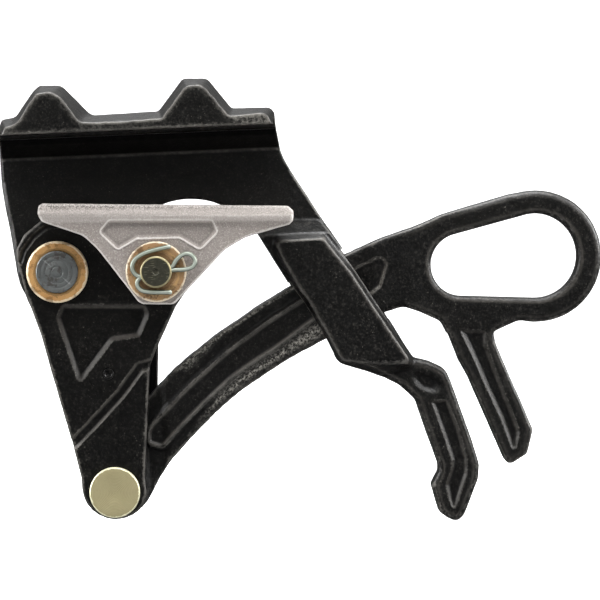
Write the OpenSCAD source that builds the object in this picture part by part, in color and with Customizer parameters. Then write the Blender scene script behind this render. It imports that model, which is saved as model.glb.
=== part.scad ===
// Parallel-jaw pulling grip for wire and cable.
// X runs along the rope groove, Z is up, Y is depth: the jaws open towards -Y, the front.
// The origin is the middle of the upper jaw's rope groove, on the groove's axis.
// The pieces are built from the link's pivot axis at mid depth, and at_groove() moves them.
// Depths are measured forward from mid depth, so a depth of 5 lies at Y = -5.

/* [Outlines] */
// Draft: share by which outlines shrink for each mm in front of mid depth
draft = 0.00072; // [0.0006:0.00002:0.0009]
// Turn of the outlines that sets the upper jaw level, degrees
level = 2.5; // [2:0.1:3]

/* [Plates] */
// Thickness of the frame plate and of the drawbar's ends
plate_t = 12; // [11:0.5:12]
// Thickness of each link plate
link_t = 7; // [6:0.5:7]
// Gap on each side of a plate that swings
side_gap = 0.4; // [0.3:0.05:0.5]
// Thickness of the drawbar between its ends
bar_t = 16; // [15:0.5:16]
// Thickness of the drawbar's eye and of its finger lever
lever_t = 14; // [12:0.5:15]

/* [Jaws] */
// How far the upper jaw reaches in front of mid depth
jaw_reach = 37; // [36:0.5:39]
// Depth of the rope groove's axis in front of mid depth
rope_y = 21.5; // [21:0.25:22]
// Diameter of the rope groove
rope_d = 13; // [12:0.25:13]
// Depth of the groove's axis below the upper lip, and above the lower jaw's top
rope_drop = 3.5; // [3.3:0.1:4]
// Height of the upper jaw's lip above the link pivot
lip_z = 65.2; // [64:0.2:66]
// Middle of the rope groove to the right of the link pivot
groove_mid = 41; // [40:0.5:42]
// Thickness of the lower jaw's body
jaw_t = 18; // [17:0.5:19]

/* [Guide slot] */
// Start of the slot along the arm
slot_start = 15.3; // [14.6:0.1:15.6]
// End of the slot along the arm
slot_end = 55.4; // [55:0.1:57]
// Gap on each side of the drawbar in the slot
slot_gap = 0.6; // [0.5:0.05:0.8]
// Thickness of the cheek in front of the slot
cheek_front = 7; // [6:0.5:8]
// Thickness of the cheek behind the slot
cheek_rear = 5; // [4:0.5:6]

/* [Pins] */
// Diameter of the link pivot pin
pivot_d = 20; // [18:0.5:20]
// Outside diameter of the pivot washers
pivot_washer_d = 29.3; // [28:0.1:30]
// Diameter of the jaw pin
jaw_pin_d = 14.8; // [14:0.1:15]
// Outside diameter of the jaw washer
jaw_washer_d = 28.4; // [27:0.1:29]
// Diameter of the drawbar pin
bar_pin_d = 16; // [14:0.5:16]
// Diameter of the drawbar pin's disc head
bar_head_d = 24; // [23.5:0.1:26]
// Running clearance on the diameter of every pin
fit = 0.1; // [0.06:0.02:0.16]

/* [Hidden] */
$fn = 96;

black = [0.07, 0.07, 0.075];
steel = [0.55, 0.57, 0.58];
gold = [0.75, 0.6, 0.28];
bronze = [0.7, 0.5, 0.25];
pale_gold = [0.75, 0.73, 0.5];

frame_face = plate_t / 2;
bar_face = bar_t / 2;
lever_face = lever_t / 2;
link_in = frame_face + side_gap;
link_out = link_in + link_t;
jaw_rear = link_out + side_gap;
jaw_front = jaw_rear + jaw_t;
slot_face = bar_face + slot_gap;
pad_front = slot_face + cheek_front;

seat_gap = 0.05;                     // between a washer and the face it lies on
washer_t = 2;                        // rear washers
rear_seat = -link_out - seat_gap;    // front face of a rear washer
rear_stop = rear_seat - washer_t;    // its rear face
pin_rear = -link_out - 2.2;          // rear end of a pin's shank
pivot_bushing_d = 24;
bar_bushing_d = 20;
flange_d = 19;                       // flange of the jaw pin, sunk in the front link plate
flange_front = link_in + 2.3;
spacer_bore = 5;                     // also the rivet hole in the link plates
coil_r = 14.6;                       // return spring
leg_angle = 200;                     // where the spring's leg stands round the pivot

// ---- placing of outline points ----
// A point is [right, up] in mm from the centre that the draft shrinks towards.
draft_centre = [96.096, 34.128];     // from the link pivot, before the levelling turn
function placed(point, depth = 0) =
    let (p = draft_centre + [point.x, point.y] * (1 - depth * draft))
    [p.x * cos(level) + p.y * sin(level), p.y * cos(level) - p.x * sin(level)];
function bearing(from, to) = atan2(to.y - from.y, to.x - from.x);

pivot = [0, 0];
jaw_axis = placed([-49.968, -34.56], 37);
bar_axis = placed([-69.84, -140.64], 16);
rivet_axis = placed([-72.72, -83.52], 13);
arm_top = [19.2, -18.24];            // start of the arm's centre line, as an outline point
arm_start = placed(arm_top, 12);
arm_end = placed([55.2, -74.4], 12);

// ---- outlines with rounded corners: each point is [right, up, corner radius] ----
function unit(v) = v / norm(v);
// corner b between neighbours a and c, as an arc; the radius gives way on short sides
function corner(a, b, c, radius) =
    let (u = unit(a - b), v = unit(c - b), cosine = u * v)
    (radius <= 0.01 || cosine < -0.9995) ? [b] :
    let (half = acos(min(0.9999, cosine)) / 2,
         run = min(radius / tan(half), 0.48 * norm(a - b), 0.48 * norm(c - b)),
         r = run * tan(half),
         centre = b + unit(u + v) * (r / sin(half)),
         start = bearing(centre, b + u * run),
         turn = bearing(centre, b + v * run) - start,
         sweep = turn > 180 ? turn - 360 : (turn < -180 ? turn + 360 : turn),
         steps = max(1, min(5, ceil(abs(sweep) / 12))))
    [for (k = [0:steps]) let (t = start + sweep * k / steps) centre + r * [cos(t), sin(t)]];
function outline(points, depth = 0) =
    let (g = [for (p = points) placed(p, depth)], n = len(points))
    [for (i = [0:n - 1]) each corner(g[(i + n - 1) % n], g[i], g[(i + 1) % n], points[i][2])];

// ---- solids between two depths ----
module slab(front, rear) {
    translate([0, -rear, 0]) rotate([90, 0, 0]) linear_extrude(height = front - rear) children();
}
module plate(points, front, rear, depth = 0) {
    slab(front, rear) polygon(outline(points, depth));
}
module rod(axis, d, front, rear, fn = 96) {
    translate([axis.x, -rear, axis.y]) rotate([90, 0, 0])
        cylinder(d = d, h = front - rear, $fn = fn);
}
module bore(axis, d) { rod(axis, d, 40, -40); }
// turned piece: its section is [radius, height above the rear face]
module turned(axis, rear, section) {
    translate([axis.x, -rear, axis.y]) rotate([90, 0, 0])
        rotate_extrude($fn = 96) polygon(section);
}
// rod with a chamfered front edge
module button(axis, d, front, rear) {
    r = d / 2;
    h = front - rear;
    c = 0.8;
    turned(axis, rear, [[0, 0], [r, 0], [r, h - c], [r - c, h], [0, h]]);
}
// flat ring with both outer edges broken by c
module ring(axis, d, hole, front, rear, c = 0.4) {
    r = d / 2;
    h = front - rear;
    turned(axis, rear, [[hole / 2, 0], [r - c, 0], [r, c], [r, h - c], [r - c, h], [hole / 2, h]]);
}
module rope_cutter() { rotate([0, 90, 0]) cylinder(d = rope_d, h = 220, $fn = 96); }

// ---- frame: plate, upper jaw, arm with guide slot, finger lever ----
plate_pts = [
    [-124.32,35.04,1], [-123.12,38.16,1.5], [-116.64,39.36,4], [-108,51.84,3],
    [-105.12,54.528,3], [-95.04,54.528,4], [-82.08,41.472,3], [-79.68,40.32,3],
    [-48.48,42.24,3], [-37.44,57.12,3], [-36,57.84,2], [-25.152,57.84,4], [-14.4,44.64,2],
    [-12.96,43.68,2], [4.8,44.16,3], [6.72,41.76,1.5], [7.008,38.88,2], [7.68,33.6,6],
    [9.6,24,10], [11.52,19.2,10], [14.4,14.4,14], [30.72,-10.56,8], [44.16,-31.68,0],
    [33.6,-48,0], [16.8,-44.16,0], [-0.96,-16.32,0], [-32.88,-36,0], [-66.72,-49.44,3],
    [-73.92,-54.72,6], [-96,-57.6,0], [-110.4,-48,6], [-114.24,-40.32,6], [-116.16,-34.56,5],
    [-119.376,-14.4,10], [-121.44,-4.8,10], [-123.36,7.2,10], [-124.56,28.8,3]];
ledge_pts = [
    [-123.84,30.24,1], [-122.4,34.56,1.5], [-118.56,35.52,4], [-115.2,38.4,3],
    [-107.52,50.4,3], [-105.12,51.12,2], [-99.84,51.36,4], [-96,49.44,4], [-87.36,38.4,4],
    [-85.44,36.96,4], [-76.8,36.96,4], [-52.8,38.4,4], [-47.04,38.88,3], [-36.96,52.8,3],
    [-34.56,54.72,3], [-28.8,54.96,4], [-25.44,52.8,4], [-15.36,40.8,3], [-13.44,40.32,3],
    [1.92,41.76,3], [3.84,40.32,2], [5.28,37.44,3], [7.2,24,0], [7.2,4.8,0], [-122.88,0,0]];
pad_pts = [
    [6.72,-19.2,2.5], [29.76,-17.28,3], [43.2,-34.08,8], [57.6,-55.68,8], [73.44,-79.2,2],
    [57.6,-82.56,4], [38.88,-77.28,4], [33.12,-65.76,4], [23.04,-48,8], [19.2,-43.2,8],
    [11.52,-29.76,8]];
arm_pts = [
    [-0.48,-16.8,0], [31.68,-14.4,0], [41.28,-26.88,6], [59.52,-53.28,8], [74.4,-77.76,3],
    [57.6,-83.52,4], [38.88,-77.28,4], [32.16,-65.76,4], [15.36,-42.24,2]];
lever_pts = [
    [34.08,-68.16,3], [38.88,-76.8,6], [52.8,-81.12,14], [67.2,-88.32,10], [74.88,-95.52,8],
    [78.72,-107.04,10], [85.92,-126.72,6], [85.92,-130.08,3], [82.56,-136.8,3],
    [84.48,-143.04,4], [86.4,-149.28,3], [90.24,-151.968,4], [94.56,-153.504,3],
    [97.68,-150.432,4], [104.16,-133.44,5], [104.64,-126.72,5], [100.8,-114.24,12],
    [90.72,-86.4,6], [88.32,-81.12,8], [80.64,-77.76,5], [72.48,-75.84,2], [64.8,-67.2,0]];

// section across the upper jaw, [Y, Z]: a hook whose root thickens the plate
module ledge_section() {
    wall = -rope_y + rope_d / 2 - 0.3;
    low = 44;
    top = 110;
    translate([-60, 0, 0]) rotate([90, 0, 90]) linear_extrude(height = 220)
        polygon([[1, low], [1, top], [-jaw_reach, top], [-jaw_reach, lip_z + 0.8],
                 [-jaw_reach + 0.8, lip_z], [wall, lip_z], [wall, lip_z - 1.8],
                 [-link_out + 0.2, lip_z - 1.8], [-link_out + 1, lip_z - 4.5],
                 [-frame_face - 1.7, lip_z - 9.8], [-frame_face, lip_z - 11.8],
                 [-frame_face, low]]);
}
// ramp from the plate up to the arm pad, section in [Y, Z]
module arm_ramp() {
    top = placed([19.2, -9.12], 8).y;
    foot = placed(arm_top, 15).y;
    translate([60, 0, 0]) rotate([90, 0, 90]) linear_extrude(height = 110)
        polygon([[0, top + 1], [-frame_face, top], [-pad_front, foot],
                 [-pad_front, foot - 70], [0, foot - 70]]);
}
module arched_plate() {
    difference() {
        union() {
            plate(plate_pts, frame_face, -frame_face);
            rod(pivot, 38.6, frame_face, -frame_face);
        }
        bore(placed([-32.88, -36.288]), 73.5);
    }
}
module upper_jaw() {
    intersection() {
        union() {
            plate(ledge_pts, jaw_reach, 0, jaw_reach);
            plate(plate_pts, 20, 0, 12);
        }
        ledge_section();
    }
}
module guide_slot() {
    h = 44;
    translate([arm_start.x, 0, arm_start.y]) rotate([0, -bearing(arm_start, arm_end), 0])
        translate([slot_start, -slot_face, -h / 2])
            cube([slot_end - slot_start, 2 * slot_face, h]);
}
// ring-shaped pocket for the return spring, open to the rear
module spring_pocket() {
    difference() {
        rod(pivot, 32, -1.5, -10);
        rod(pivot, 26.6, 0, -11);
    }
}
module frame() {
    color(black) difference() {
        union() {
            arched_plate();
            upper_jaw();
            intersection() {
                plate(pad_pts, pad_front, 0, pad_front);
                arm_ramp();
            }
            plate(arm_pts, pad_front - 4.5, -slot_face - cheek_rear);
            plate(lever_pts, bar_face, -bar_face);
        }
        guide_slot();
        translate([-60, -rope_y, lip_z - rope_drop]) rope_cutter();
        bore(pivot, pivot_bushing_d + fit);
        spring_pocket();
    }
}

// ---- lower jaw: working bar and hub ----
jaw_body_pts = [
    [-106.08,-2.88,1], [-104.64,-1.92,1], [13.44,-2.88,2], [15.84,-5.28,2], [15.84,-9.12,2],
    [14.16,-11.76,2], [-7.2,-18.24,14], [-16.8,-24,14], [-40.8,-49.92,2], [-42.72,-50.4,2],
    [-56.16,-50.16,2], [-58.56,-48.96,2], [-77.76,-24,10], [-84.96,-17.28,10],
    [-100.8,-12,8], [-104.64,-10.56,3], [-106.56,-6.72,2]];
jaw_bar_pts = [
    [-106.08,-2.88,1], [-104.64,-1.728,1], [13.44,-2.88,2], [16.08,-5.28,2],
    [16.08,-8.16,1], [-106.08,-6.72,1]];
jaw_panel_pts = [
    [-69.12,-11.04,1], [-25.92,-11.04,1], [-23.52,-14.88,1], [-29.76,-20.64,1],
    [-38.4,-15.36,1], [-59.04,-15.84,1], [-67.68,-20.64,1], [-73.92,-15.36,1]];
// ends of the working bar's top
jaw_left = placed([-104.64, -1.824], 34);
jaw_right = placed([13.44, -2.88], 34);
module lower_jaw() {
    bar_front = jaw_front + 2;
    color([0.72, 0.69, 0.67]) difference() {
        union() {
            plate(jaw_body_pts, jaw_front, jaw_rear, jaw_front);
            plate(jaw_bar_pts, bar_front, jaw_rear, bar_front);
        }
        // sunk panel in the front face
        plate(jaw_panel_pts, jaw_front + 1, jaw_front - 1.2, jaw_front);
        rod(jaw_axis, jaw_pin_d + fit, 60, 0);
        translate([jaw_left.x, -rope_y, jaw_left.y + rope_drop])
            rotate([0, -bearing(jaw_left, jaw_right), 0])
                translate([-40, 0, 0]) rope_cutter();
    }
}

// ---- link: a front plate that carries the jaw, a plainer rear plate ----
link_pts = [
    [-116.64,-24,2], [-112.8,-16.8,3], [-104.64,-10.08,4], [-88.8,-8.64,8],
    [-68.16,-19.2,10], [-51.84,-17.28,14], [-37.44,-22.08,12], [-32.64,-32.64,12],
    [-35.52,-43.2,8], [-40.8,-50.88,6], [-46.08,-62.4,6], [-49.44,-69.6,4],
    [-53.28,-79.68,2], [-54,-96,10], [-55.68,-133.44,0], [-54.72,-141.12,4],
    [-56.16,-145.92,4], [-58.08,-148.8,4], [-61.296,-151.2,4], [-65.28,-152.832,4],
    [-69.36,-153.408,4], [-73.68,-152.784,4], [-77.424,-151.2,4], [-80.64,-148.8,4],
    [-82.8,-146.16,4], [-84.48,-142.8,4], [-85.344,-138.72,4], [-85.584,-133.44,4],
    [-89.376,-118.56,8], [-96.576,-93.6,8], [-101.376,-76.8,8], [-104.64,-64.8,6],
    [-112.176,-44.64,6], [-115.584,-31.68,4]];
link_rear_pts = [
    [-115.68,-24,12], [-108.48,-14.4,16], [-96,-12.48,18], [-80.64,-19.2,16],
    [-69.12,-36.48,12], [-52.8,-50.88,8], [-47.52,-60.48,5], [-49.44,-70.08,4],
    [-49.776,-91.68,3], [-53.76,-99.84,6], [-55.68,-133.44,0], [-55.2,-139.2,4],
    [-56.64,-144.48,4], [-59.04,-147.6,4], [-62.16,-150,4], [-66,-151.584,4],
    [-69.84,-152.064,4], [-73.68,-151.44,4], [-77.28,-149.76,4], [-80.4,-147.36,4],
    [-82.8,-144.48,4], [-84.24,-141.12,4], [-84.72,-133.44,4], [-88.8,-118.56,8],
    [-96,-93.6,8], [-104.16,-64.8,6], [-111.84,-48,6], [-116.16,-36,4]];
link_pocket_pts = [
    [-94.08,-51.84,1.5], [-59.04,-51.84,1.5], [-56.64,-54.24,1.5], [-57.6,-60.48,2],
    [-60,-64.32,2], [-70.56,-65.76,1.5], [-86.4,-85.44,1.5], [-96,-57.6,2]];
link_groove_pts = [
    [-89.28,-114.24,0], [-76.8,-101.76,0], [-67.2,-91.2,0], [-58.56,-78.24,0],
    [-51.84,-75.84,0], [-51.84,-80.64,0], [-54.72,-81.12,0], [-66.24,-95.04,0],
    [-76.8,-107.52,0], [-88.8,-119.04,0]];
// holes that both link plates share
module link_bores() {
    bore(pivot, pivot_d + fit);
    bore(bar_axis, bar_pin_d + fit);
    bore(rivet_axis, spacer_bore);
}
module link_front() {
    color(black) difference() {
        plate(link_pts, link_out, link_in, link_out);
        plate(link_pocket_pts, link_out + 1, link_out - 1.6, link_out);
        plate(link_groove_pts, link_out + 1, link_out - 1, link_out);
        link_bores();
        rod(jaw_axis, jaw_pin_d + fit, 40, 0);
        rod(jaw_axis, flange_d + 0.2, flange_front + 0.1, 0);
    }
}
module link_rear() {
    color(black) difference() {
        plate(link_rear_pts, -link_in, -link_out);
        link_bores();
        // hole for the spring's leg
        rod(coil_r * [cos(leg_angle), sin(leg_angle)], 2.2, 0, -40);
    }
}

// ---- drawbar: curved bar, eye and finger lever in one forging ----
bar_pts = [
    [-48.96,-89.52,0], [-38.4,-78.72,0], [-28.8,-71.04,0], [-19.2,-63.36,0],
    [-9.6,-57.12,0], [0,-50.4,0], [14.4,-41.76,0], [27.84,-33.6,0], [40.8,-26.4,0],
    [48,-23.04,0], [57.6,-18.72,0], [67.2,-15.36,0], [76.8,-12.48,0], [86.4,-7.68,8],
    [122.88,2.4,4], [132,-26.88,0], [132.48,-57.36,0], [123.36,-57.36,6],
    [114.24,-61.44,6], [108,-65.28,0], [89.76,-63.36,0], [86.88,-57.84,6],
    [76.8,-53.28,10], [68.64,-50.4,8], [59.52,-53.28,8], [45.6,-59.04,0],
    [31.2,-66.24,0], [19.2,-72.48,0], [9.6,-78.24,0], [0,-84.48,0], [-9.6,-91.2,0],
    [-19.2,-99.36,0], [-28.8,-108.96,0], [-38.4,-119.04,0], [-46.56,-129.12,0]];
bar_end_pts = [
    [-39.36,-79.68,0], [-48,-88.56,0], [-62.4,-104.64,8], [-76.8,-122.4,8],
    [-84,-133.44,6], [-70.08,-140.64,0], [-60.96,-149.28,3], [-57.12,-147.36,4],
    [-54,-144,4], [-51.6,-139.2,4], [-49.2,-134.4,4], [-43.2,-124.8,0], [-34.56,-115.2,0]];
bar_lever_pts = [
    [89.28,-58.56,0], [89.76,-61.92,2], [95.664,-76.8,6], [100.464,-85.44,8],
    [105.744,-97.44,6], [117.264,-123.6,2], [118.848,-125.76,1], [120.96,-125.76,1],
    [127.824,-121.248,2], [129.264,-115.2,4], [130.32,-109.92,4], [125.424,-98.4,6],
    [115.824,-76.8,10], [112.464,-68.64,8], [111.168,-61.92,4], [115.2,-58.56,0]];
bar_panel_pts = [
    [-51.36,-108.48,2], [-33.6,-89.76,0], [-14.4,-72.48,0], [4.8,-58.56,0],
    [19.2,-49.44,0], [33.6,-41.28,2], [38.4,-48,2], [25.92,-56.64,0], [9.6,-69.12,0],
    [-9.6,-81.6,0], [-19.2,-89.76,0], [-33.6,-103.68,0], [-47.52,-116.64,2]];
// two round ends joined by their tangents
module eye_hole() {
    small = placed([96.768, -30.96]);
    small_r = 15.024;
    large = placed([131.904, -26.688]);
    large_r = 20.208;
    t = bearing(small, large);
    a = acos((small_r - large_r) / norm(large - small));
    function touch(o, r, s) = o + r * [cos(t + s * a), sin(t + s * a)];
    slab(30, -30)
        polygon([touch(small, small_r, 1), touch(large, large_r, 1),
                 touch(large, large_r, -1), touch(small, small_r, -1)]);
    rod(small, 2 * small_r, 30, -30);
    rod(large, 2 * large_r, 30, -30);
}
module drawbar() {
    color(black) difference() {
        union() {
            plate(bar_pts, bar_face, -bar_face);
            plate(bar_end_pts, frame_face, -frame_face);
            rod(bar_axis, 27.2, frame_face, -frame_face);
            rod(placed([132, -26.88]), 62.112, lever_face, -lever_face);
            plate(bar_lever_pts, lever_face, -lever_face);
        }
        eye_hole();
        bore(bar_axis, bar_bushing_d + fit);
        // sunk panels, front and rear
        for (side = [1, -1]) scale([1, side, 1])
            plate(bar_panel_pts, bar_face + 1, bar_face - 1.6);
    }
}

// ---- pins, washers, bushings ----
module pivot_pin() {
    color(steel) union() {
        button(pivot, pivot_d, link_out + 5.4, pin_rear);
        rod(pivot, 26, rear_stop - fit / 2, -link_out - 5.2);
    }
}
module pivot_washer() {
    color(gold)
        ring(pivot, pivot_washer_d, pivot_d + fit, link_out + 4, link_out + seat_gap, 0.6);
}
module pivot_rear_washer() {
    color(gold) ring(pivot, pivot_washer_d, pivot_d + fit, rear_seat, rear_stop);
}
module pivot_bushing() {
    color(bronze) ring(pivot, pivot_bushing_d, pivot_d + fit, frame_face, -frame_face);
}
module jaw_pin() {
    color([0.3, 0.31, 0.32]) difference() {
        union() {
            button(jaw_axis, jaw_pin_d, jaw_front + 6.4, link_in + 1);
            rod(jaw_axis, flange_d, flange_front, link_in + 0.1);
        }
        // cross hole for the cotter
        translate([cotter_in.x, -cotter_depth, cotter_in.y])
            rotate([0, -bearing(cotter_out, cotter_in), 0]) rotate([0, 90, 0])
                cylinder(d = 2 * cotter_r + 0.4, h = 60, center = true, $fn = 48);
    }
}
module jaw_washer() {
    color([0.6, 0.45, 0.25])
        ring(jaw_axis, jaw_washer_d, jaw_pin_d + fit, jaw_front + 1.95, jaw_front + seat_gap);
}
module drawbar_pin() {
    color(pale_gold) union() {
        button(bar_axis, bar_head_d, link_out + 3.3, link_out + 0.1);
        rod(bar_axis, bar_pin_d, link_out + 1, pin_rear);
        rod(bar_axis, 20, rear_stop - fit / 2, -link_out - 4.2);
    }
}
module drawbar_rear_washer() {
    color(pale_gold) ring(bar_axis, 26, bar_pin_d + fit, rear_seat, rear_stop);
}
module drawbar_bushing() {
    color(bronze) ring(bar_axis, bar_bushing_d, bar_pin_d + fit, frame_face, -frame_face);
}
module link_rivet() { color(steel) rod(rivet_axis, 4.9, link_out, -link_out, 48); }
module link_spacer() {
    color(steel)
        ring(rivet_axis, 9, spacer_bore, link_in - seat_gap, -link_in + seat_gap, 0.3);
}

// ---- jaw cotter: round wire, wire paths are [right, up] ----
cotter_r = 1.1;
cotter_depth = jaw_front + 3.3;
shank_end = [-58.224, -37.248];
cotter_in = placed([-42.24, -32.16], 36);    // where the cotter enters the pin
cotter_out = placed(shank_end, 36);          // where it leaves
// head loop, shank and the leg bent over the pin
upper_wire = [
    [-41.952,-32.064], [-40.32,-29.04], [-37.92,-26.784], [-35.52,-25.728], [-33.12,-26.4],
    [-31.296,-28.32], [-31.392,-30.72], [-33.12,-32.832], [-36.48,-33.6], [-42.24,-32.256],
    shank_end, [-60.384,-35.52], [-61.392,-32.88], [-60.672,-30], [-58.56,-27.264],
    [-55.2,-25.2], [-50.88,-24], [-43.632,-22.368]];
// leg bent under the pin
lower_wire = [
    [-57.792,-36.672], [-59.04,-39.6], [-58.464,-41.952], [-56.64,-43.536],
    [-53.76,-44.256], [-42.816,-44.352]];

// faces of a closed tube of n rings with m points each
function tube_faces(n, m) = concat(
    [[for (k = [0:m - 1]) k]], [[for (k = [m - 1:-1:0]) (n - 1) * m + k]],
    [for (i = [0:n - 2], k = [0:m - 1]) let (j = (k + 1) % m)
        [i * m + k, (i + 1) * m + k, (i + 1) * m + j, i * m + j]]);
// round wire through points of the XZ plane, mitred at each bend
module wire_run(path, r) {
    m = 10;
    n = len(path);
    runs = [for (i = [0:n - 2]) unit(path[i + 1] - path[i])];
    side = [for (i = [0:n - 1])
        let (before = runs[max(0, i - 1)], t = unit(before + runs[min(n - 2, i)]))
        [t.y, -t.x] / max(0.5, t * before)];
    polyhedron([for (i = [0:n - 1], k = [0:m - 1])
        let (a = 360 * k / m, p = path[i] + r * cos(a) * side[i])
        [p.x, r * sin(a), p.y]], tube_faces(n, m));
}
module jaw_cotter() {
    color([0.78, 0.8, 0.78]) translate([0, -cotter_depth, 0]) union() {
        wire_run([for (p = upper_wire) placed(p, 36)], cotter_r);
        wire_run([for (p = lower_wire) placed(p, 36)], cotter_r - 0.05);
    }
}

// ---- return spring: a coil round the pivot in the frame's rear pocket ----
module return_spring() {
    turns = 1.7;
    r = 1.5 / 2;                     // wire radius
    m = 8;
    n = 48;
    coil_y = frame_face - 0.9;       // rear end of the coil
    coil_rise = 2.7;
    function radial(a) = [cos(a), 0, sin(a)];
    function loop(c, e1, e2) =
        [for (k = [0:m - 1]) c + r * cos(360 * k / m) * e1 + r * sin(360 * k / m) * e2];
    out = radial(leg_angle);
    along = radial(leg_angle + 90);
    leg = coil_r * out;
    // leg that hooks into the rear link plate, bend, then the coil
    rings = concat(
        [loop(leg + [0, link_out - 1, 0], out, along),
         loop(leg + [0, coil_y, 0], out, along + [0, 1, 0])],
        [for (i = [2:n]) let (a = leg_angle + 360 * turns * i / n)
            loop(coil_r * radial(a) + [0, coil_y - coil_rise * i / n, 0], radial(a), [0, 1, 0])]);
    color([0.5, 0.5, 0.52])
        polyhedron([for (q = rings) each q], tube_faces(len(rings), m));
}

module at_groove() { translate([-groove_mid, rope_y, rope_drop - lip_z]) children(); }

at_groove() frame();
at_groove() lower_jaw();
at_groove() link_front();
at_groove() link_rear();
at_groove() drawbar();
at_groove() pivot_pin();
at_groove() pivot_washer();
at_groove() pivot_rear_washer();
at_groove() pivot_bushing();
at_groove() jaw_pin();
at_groove() jaw_washer();
at_groove() jaw_cotter();
at_groove() drawbar_pin();
at_groove() drawbar_rear_washer();
at_groove() drawbar_bushing();
at_groove() link_rivet();
at_groove() link_spacer();
at_groove() return_spring();
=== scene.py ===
# A parallel-jaw pulling grip: a frame with the fixed upper jaw, a lower jaw, a link of two plates
# and a drawbar with an eye, joined by pins. The part's frame is in metres, with x to the right,
# y to the rear and z up. Its origin lies in the middle of the rope groove.
# Shapes are worked out in mm from the link's pivot axis at mid depth, and moved by OFFSET.
import bpy
import math
import numpy as np
import openvdb as vdb
from mathutils import Matrix, Vector


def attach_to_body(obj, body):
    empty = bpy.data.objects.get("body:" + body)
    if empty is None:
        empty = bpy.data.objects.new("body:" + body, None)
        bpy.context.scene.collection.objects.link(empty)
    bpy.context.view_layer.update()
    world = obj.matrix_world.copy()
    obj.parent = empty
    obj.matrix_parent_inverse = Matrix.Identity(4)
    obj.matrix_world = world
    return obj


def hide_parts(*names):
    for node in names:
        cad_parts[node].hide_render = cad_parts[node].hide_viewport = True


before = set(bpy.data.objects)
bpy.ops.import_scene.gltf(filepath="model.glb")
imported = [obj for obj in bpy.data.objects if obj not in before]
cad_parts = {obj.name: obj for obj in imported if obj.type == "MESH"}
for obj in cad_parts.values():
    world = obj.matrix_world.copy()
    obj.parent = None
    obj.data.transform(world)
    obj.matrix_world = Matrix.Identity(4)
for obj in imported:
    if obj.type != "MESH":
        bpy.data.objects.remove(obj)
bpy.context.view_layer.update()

# ------------------------------------------------------------------ driving sizes, in mm
PLATE_HALF, BAR_HALF, EYE_HALF = 6.0, 8.0, 7.0       # half thicknesses
LINK_IN, LINK_OUT = 6.4, 13.4                        # faces of each link plate, from mid depth
JAW_BACK, JAW_FRONT, JAW_BAR_FRONT = 13.8, 31.8, 33.8
LEDGE_FRONT, PAD_FRONT, CHEEK_REAR = 37.0, 15.6, 13.6
LIP_Z, ROPE_Y, ROPE_R, ROPE_DROP = 65.2, 21.5, 6.5, 3.5
OFFSET = np.array([-41.0, ROPE_Y, ROPE_DROP - LIP_Z])
PIVOT_BORE, JAW_BORE, BAR_BORE, RIVET_BORE = 10.05, 7.45, 8.05, 2.5
SPRING_R, SPRING_START = 14.6, 200                   # coil radius, angle of its leg in degrees
JAW_SLOPE = 0.0355                                   # fall of the lower jaw's top, per mm of x

# Outlines are drawn in mm about a datum, on axes tilted clockwise as seen from the front:
# right, up and, where there is a third column, the corner radius.
TILT = math.radians(2.5)
TAPER = 0.00072                                      # shrinkage to the datum per mm forward
PIVOT_ON_SHEET = (-96.096, -34.128)
COS_TILT, SIN_TILT = math.cos(TILT), math.sin(TILT)


def place(point, front=0.0):
    """x, z of an outline point that lies front mm ahead of mid depth."""
    size = 1 - front * TAPER
    x, z = point[0] * size - PIVOT_ON_SHEET[0], point[1] * size - PIVOT_ON_SHEET[1]
    return np.array([x * COS_TILT + z * SIN_TILT, z * COS_TILT - x * SIN_TILT])


def heading(start, end):
    return math.atan2(end[1] - start[1], end[0] - start[0])


ORIGIN = np.array([0.0, 0.0])
JAW_PIN = place((-49.968, -34.56), 37)
BAR_PIN = place((-69.84, -140.64), 16)
RIVET = place((-72.72, -83.52), 13)
ARM_START, ARM_END = place((19.2, -18.24), 12), place((55.2, -74.4), 12)
JAW_TOP_POINT = place((-48, -7.68), JAW_FRONT)
JAW_TOP = float(JAW_TOP_POINT[1] + JAW_SLOPE * JAW_TOP_POINT[0])
SPRING_LEG = SPRING_R * np.array([math.cos(math.radians(SPRING_START)),
                                  math.sin(math.radians(SPRING_START))])
# voxel sizes
H_BIG = 0.46
H_SMALL = 0.36


def rounded(points, radii):
    """Closed polygon with rounded corners, in steps of up to 10 degrees."""
    out = []
    for i, (corner, radius) in enumerate(zip(points, radii)):
        back, ahead = points[i - 1] - corner, points[(i + 1) % len(points)] - corner
        len_back, len_ahead = np.linalg.norm(back), np.linalg.norm(ahead)
        back, ahead = back / len_back, ahead / len_ahead
        cosine = float(back @ ahead)
        if radius <= 0.01 or cosine < -0.9995:
            out.append(corner)
            continue
        half = math.acos(min(0.9999, cosine)) / 2
        cut = min(radius / math.tan(half), 0.48 * len_back, 0.48 * len_ahead)
        fit = cut * math.tan(half)
        middle = back + ahead
        centre = corner + middle / np.linalg.norm(middle) * fit / math.sin(half)
        first, last = corner + back * cut - centre, corner + ahead * cut - centre
        start = math.atan2(first[1], first[0])
        turn = (math.atan2(last[1], last[0]) - start + math.pi) % (2 * math.pi) - math.pi
        steps = max(1, int(math.ceil(abs(math.degrees(turn)) / 10.0)))
        for j in range(steps + 1):
            angle = start + turn * j / steps
            out.append(centre + fit * np.array([math.cos(angle), math.sin(angle)]))
    return np.array(out)


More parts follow.
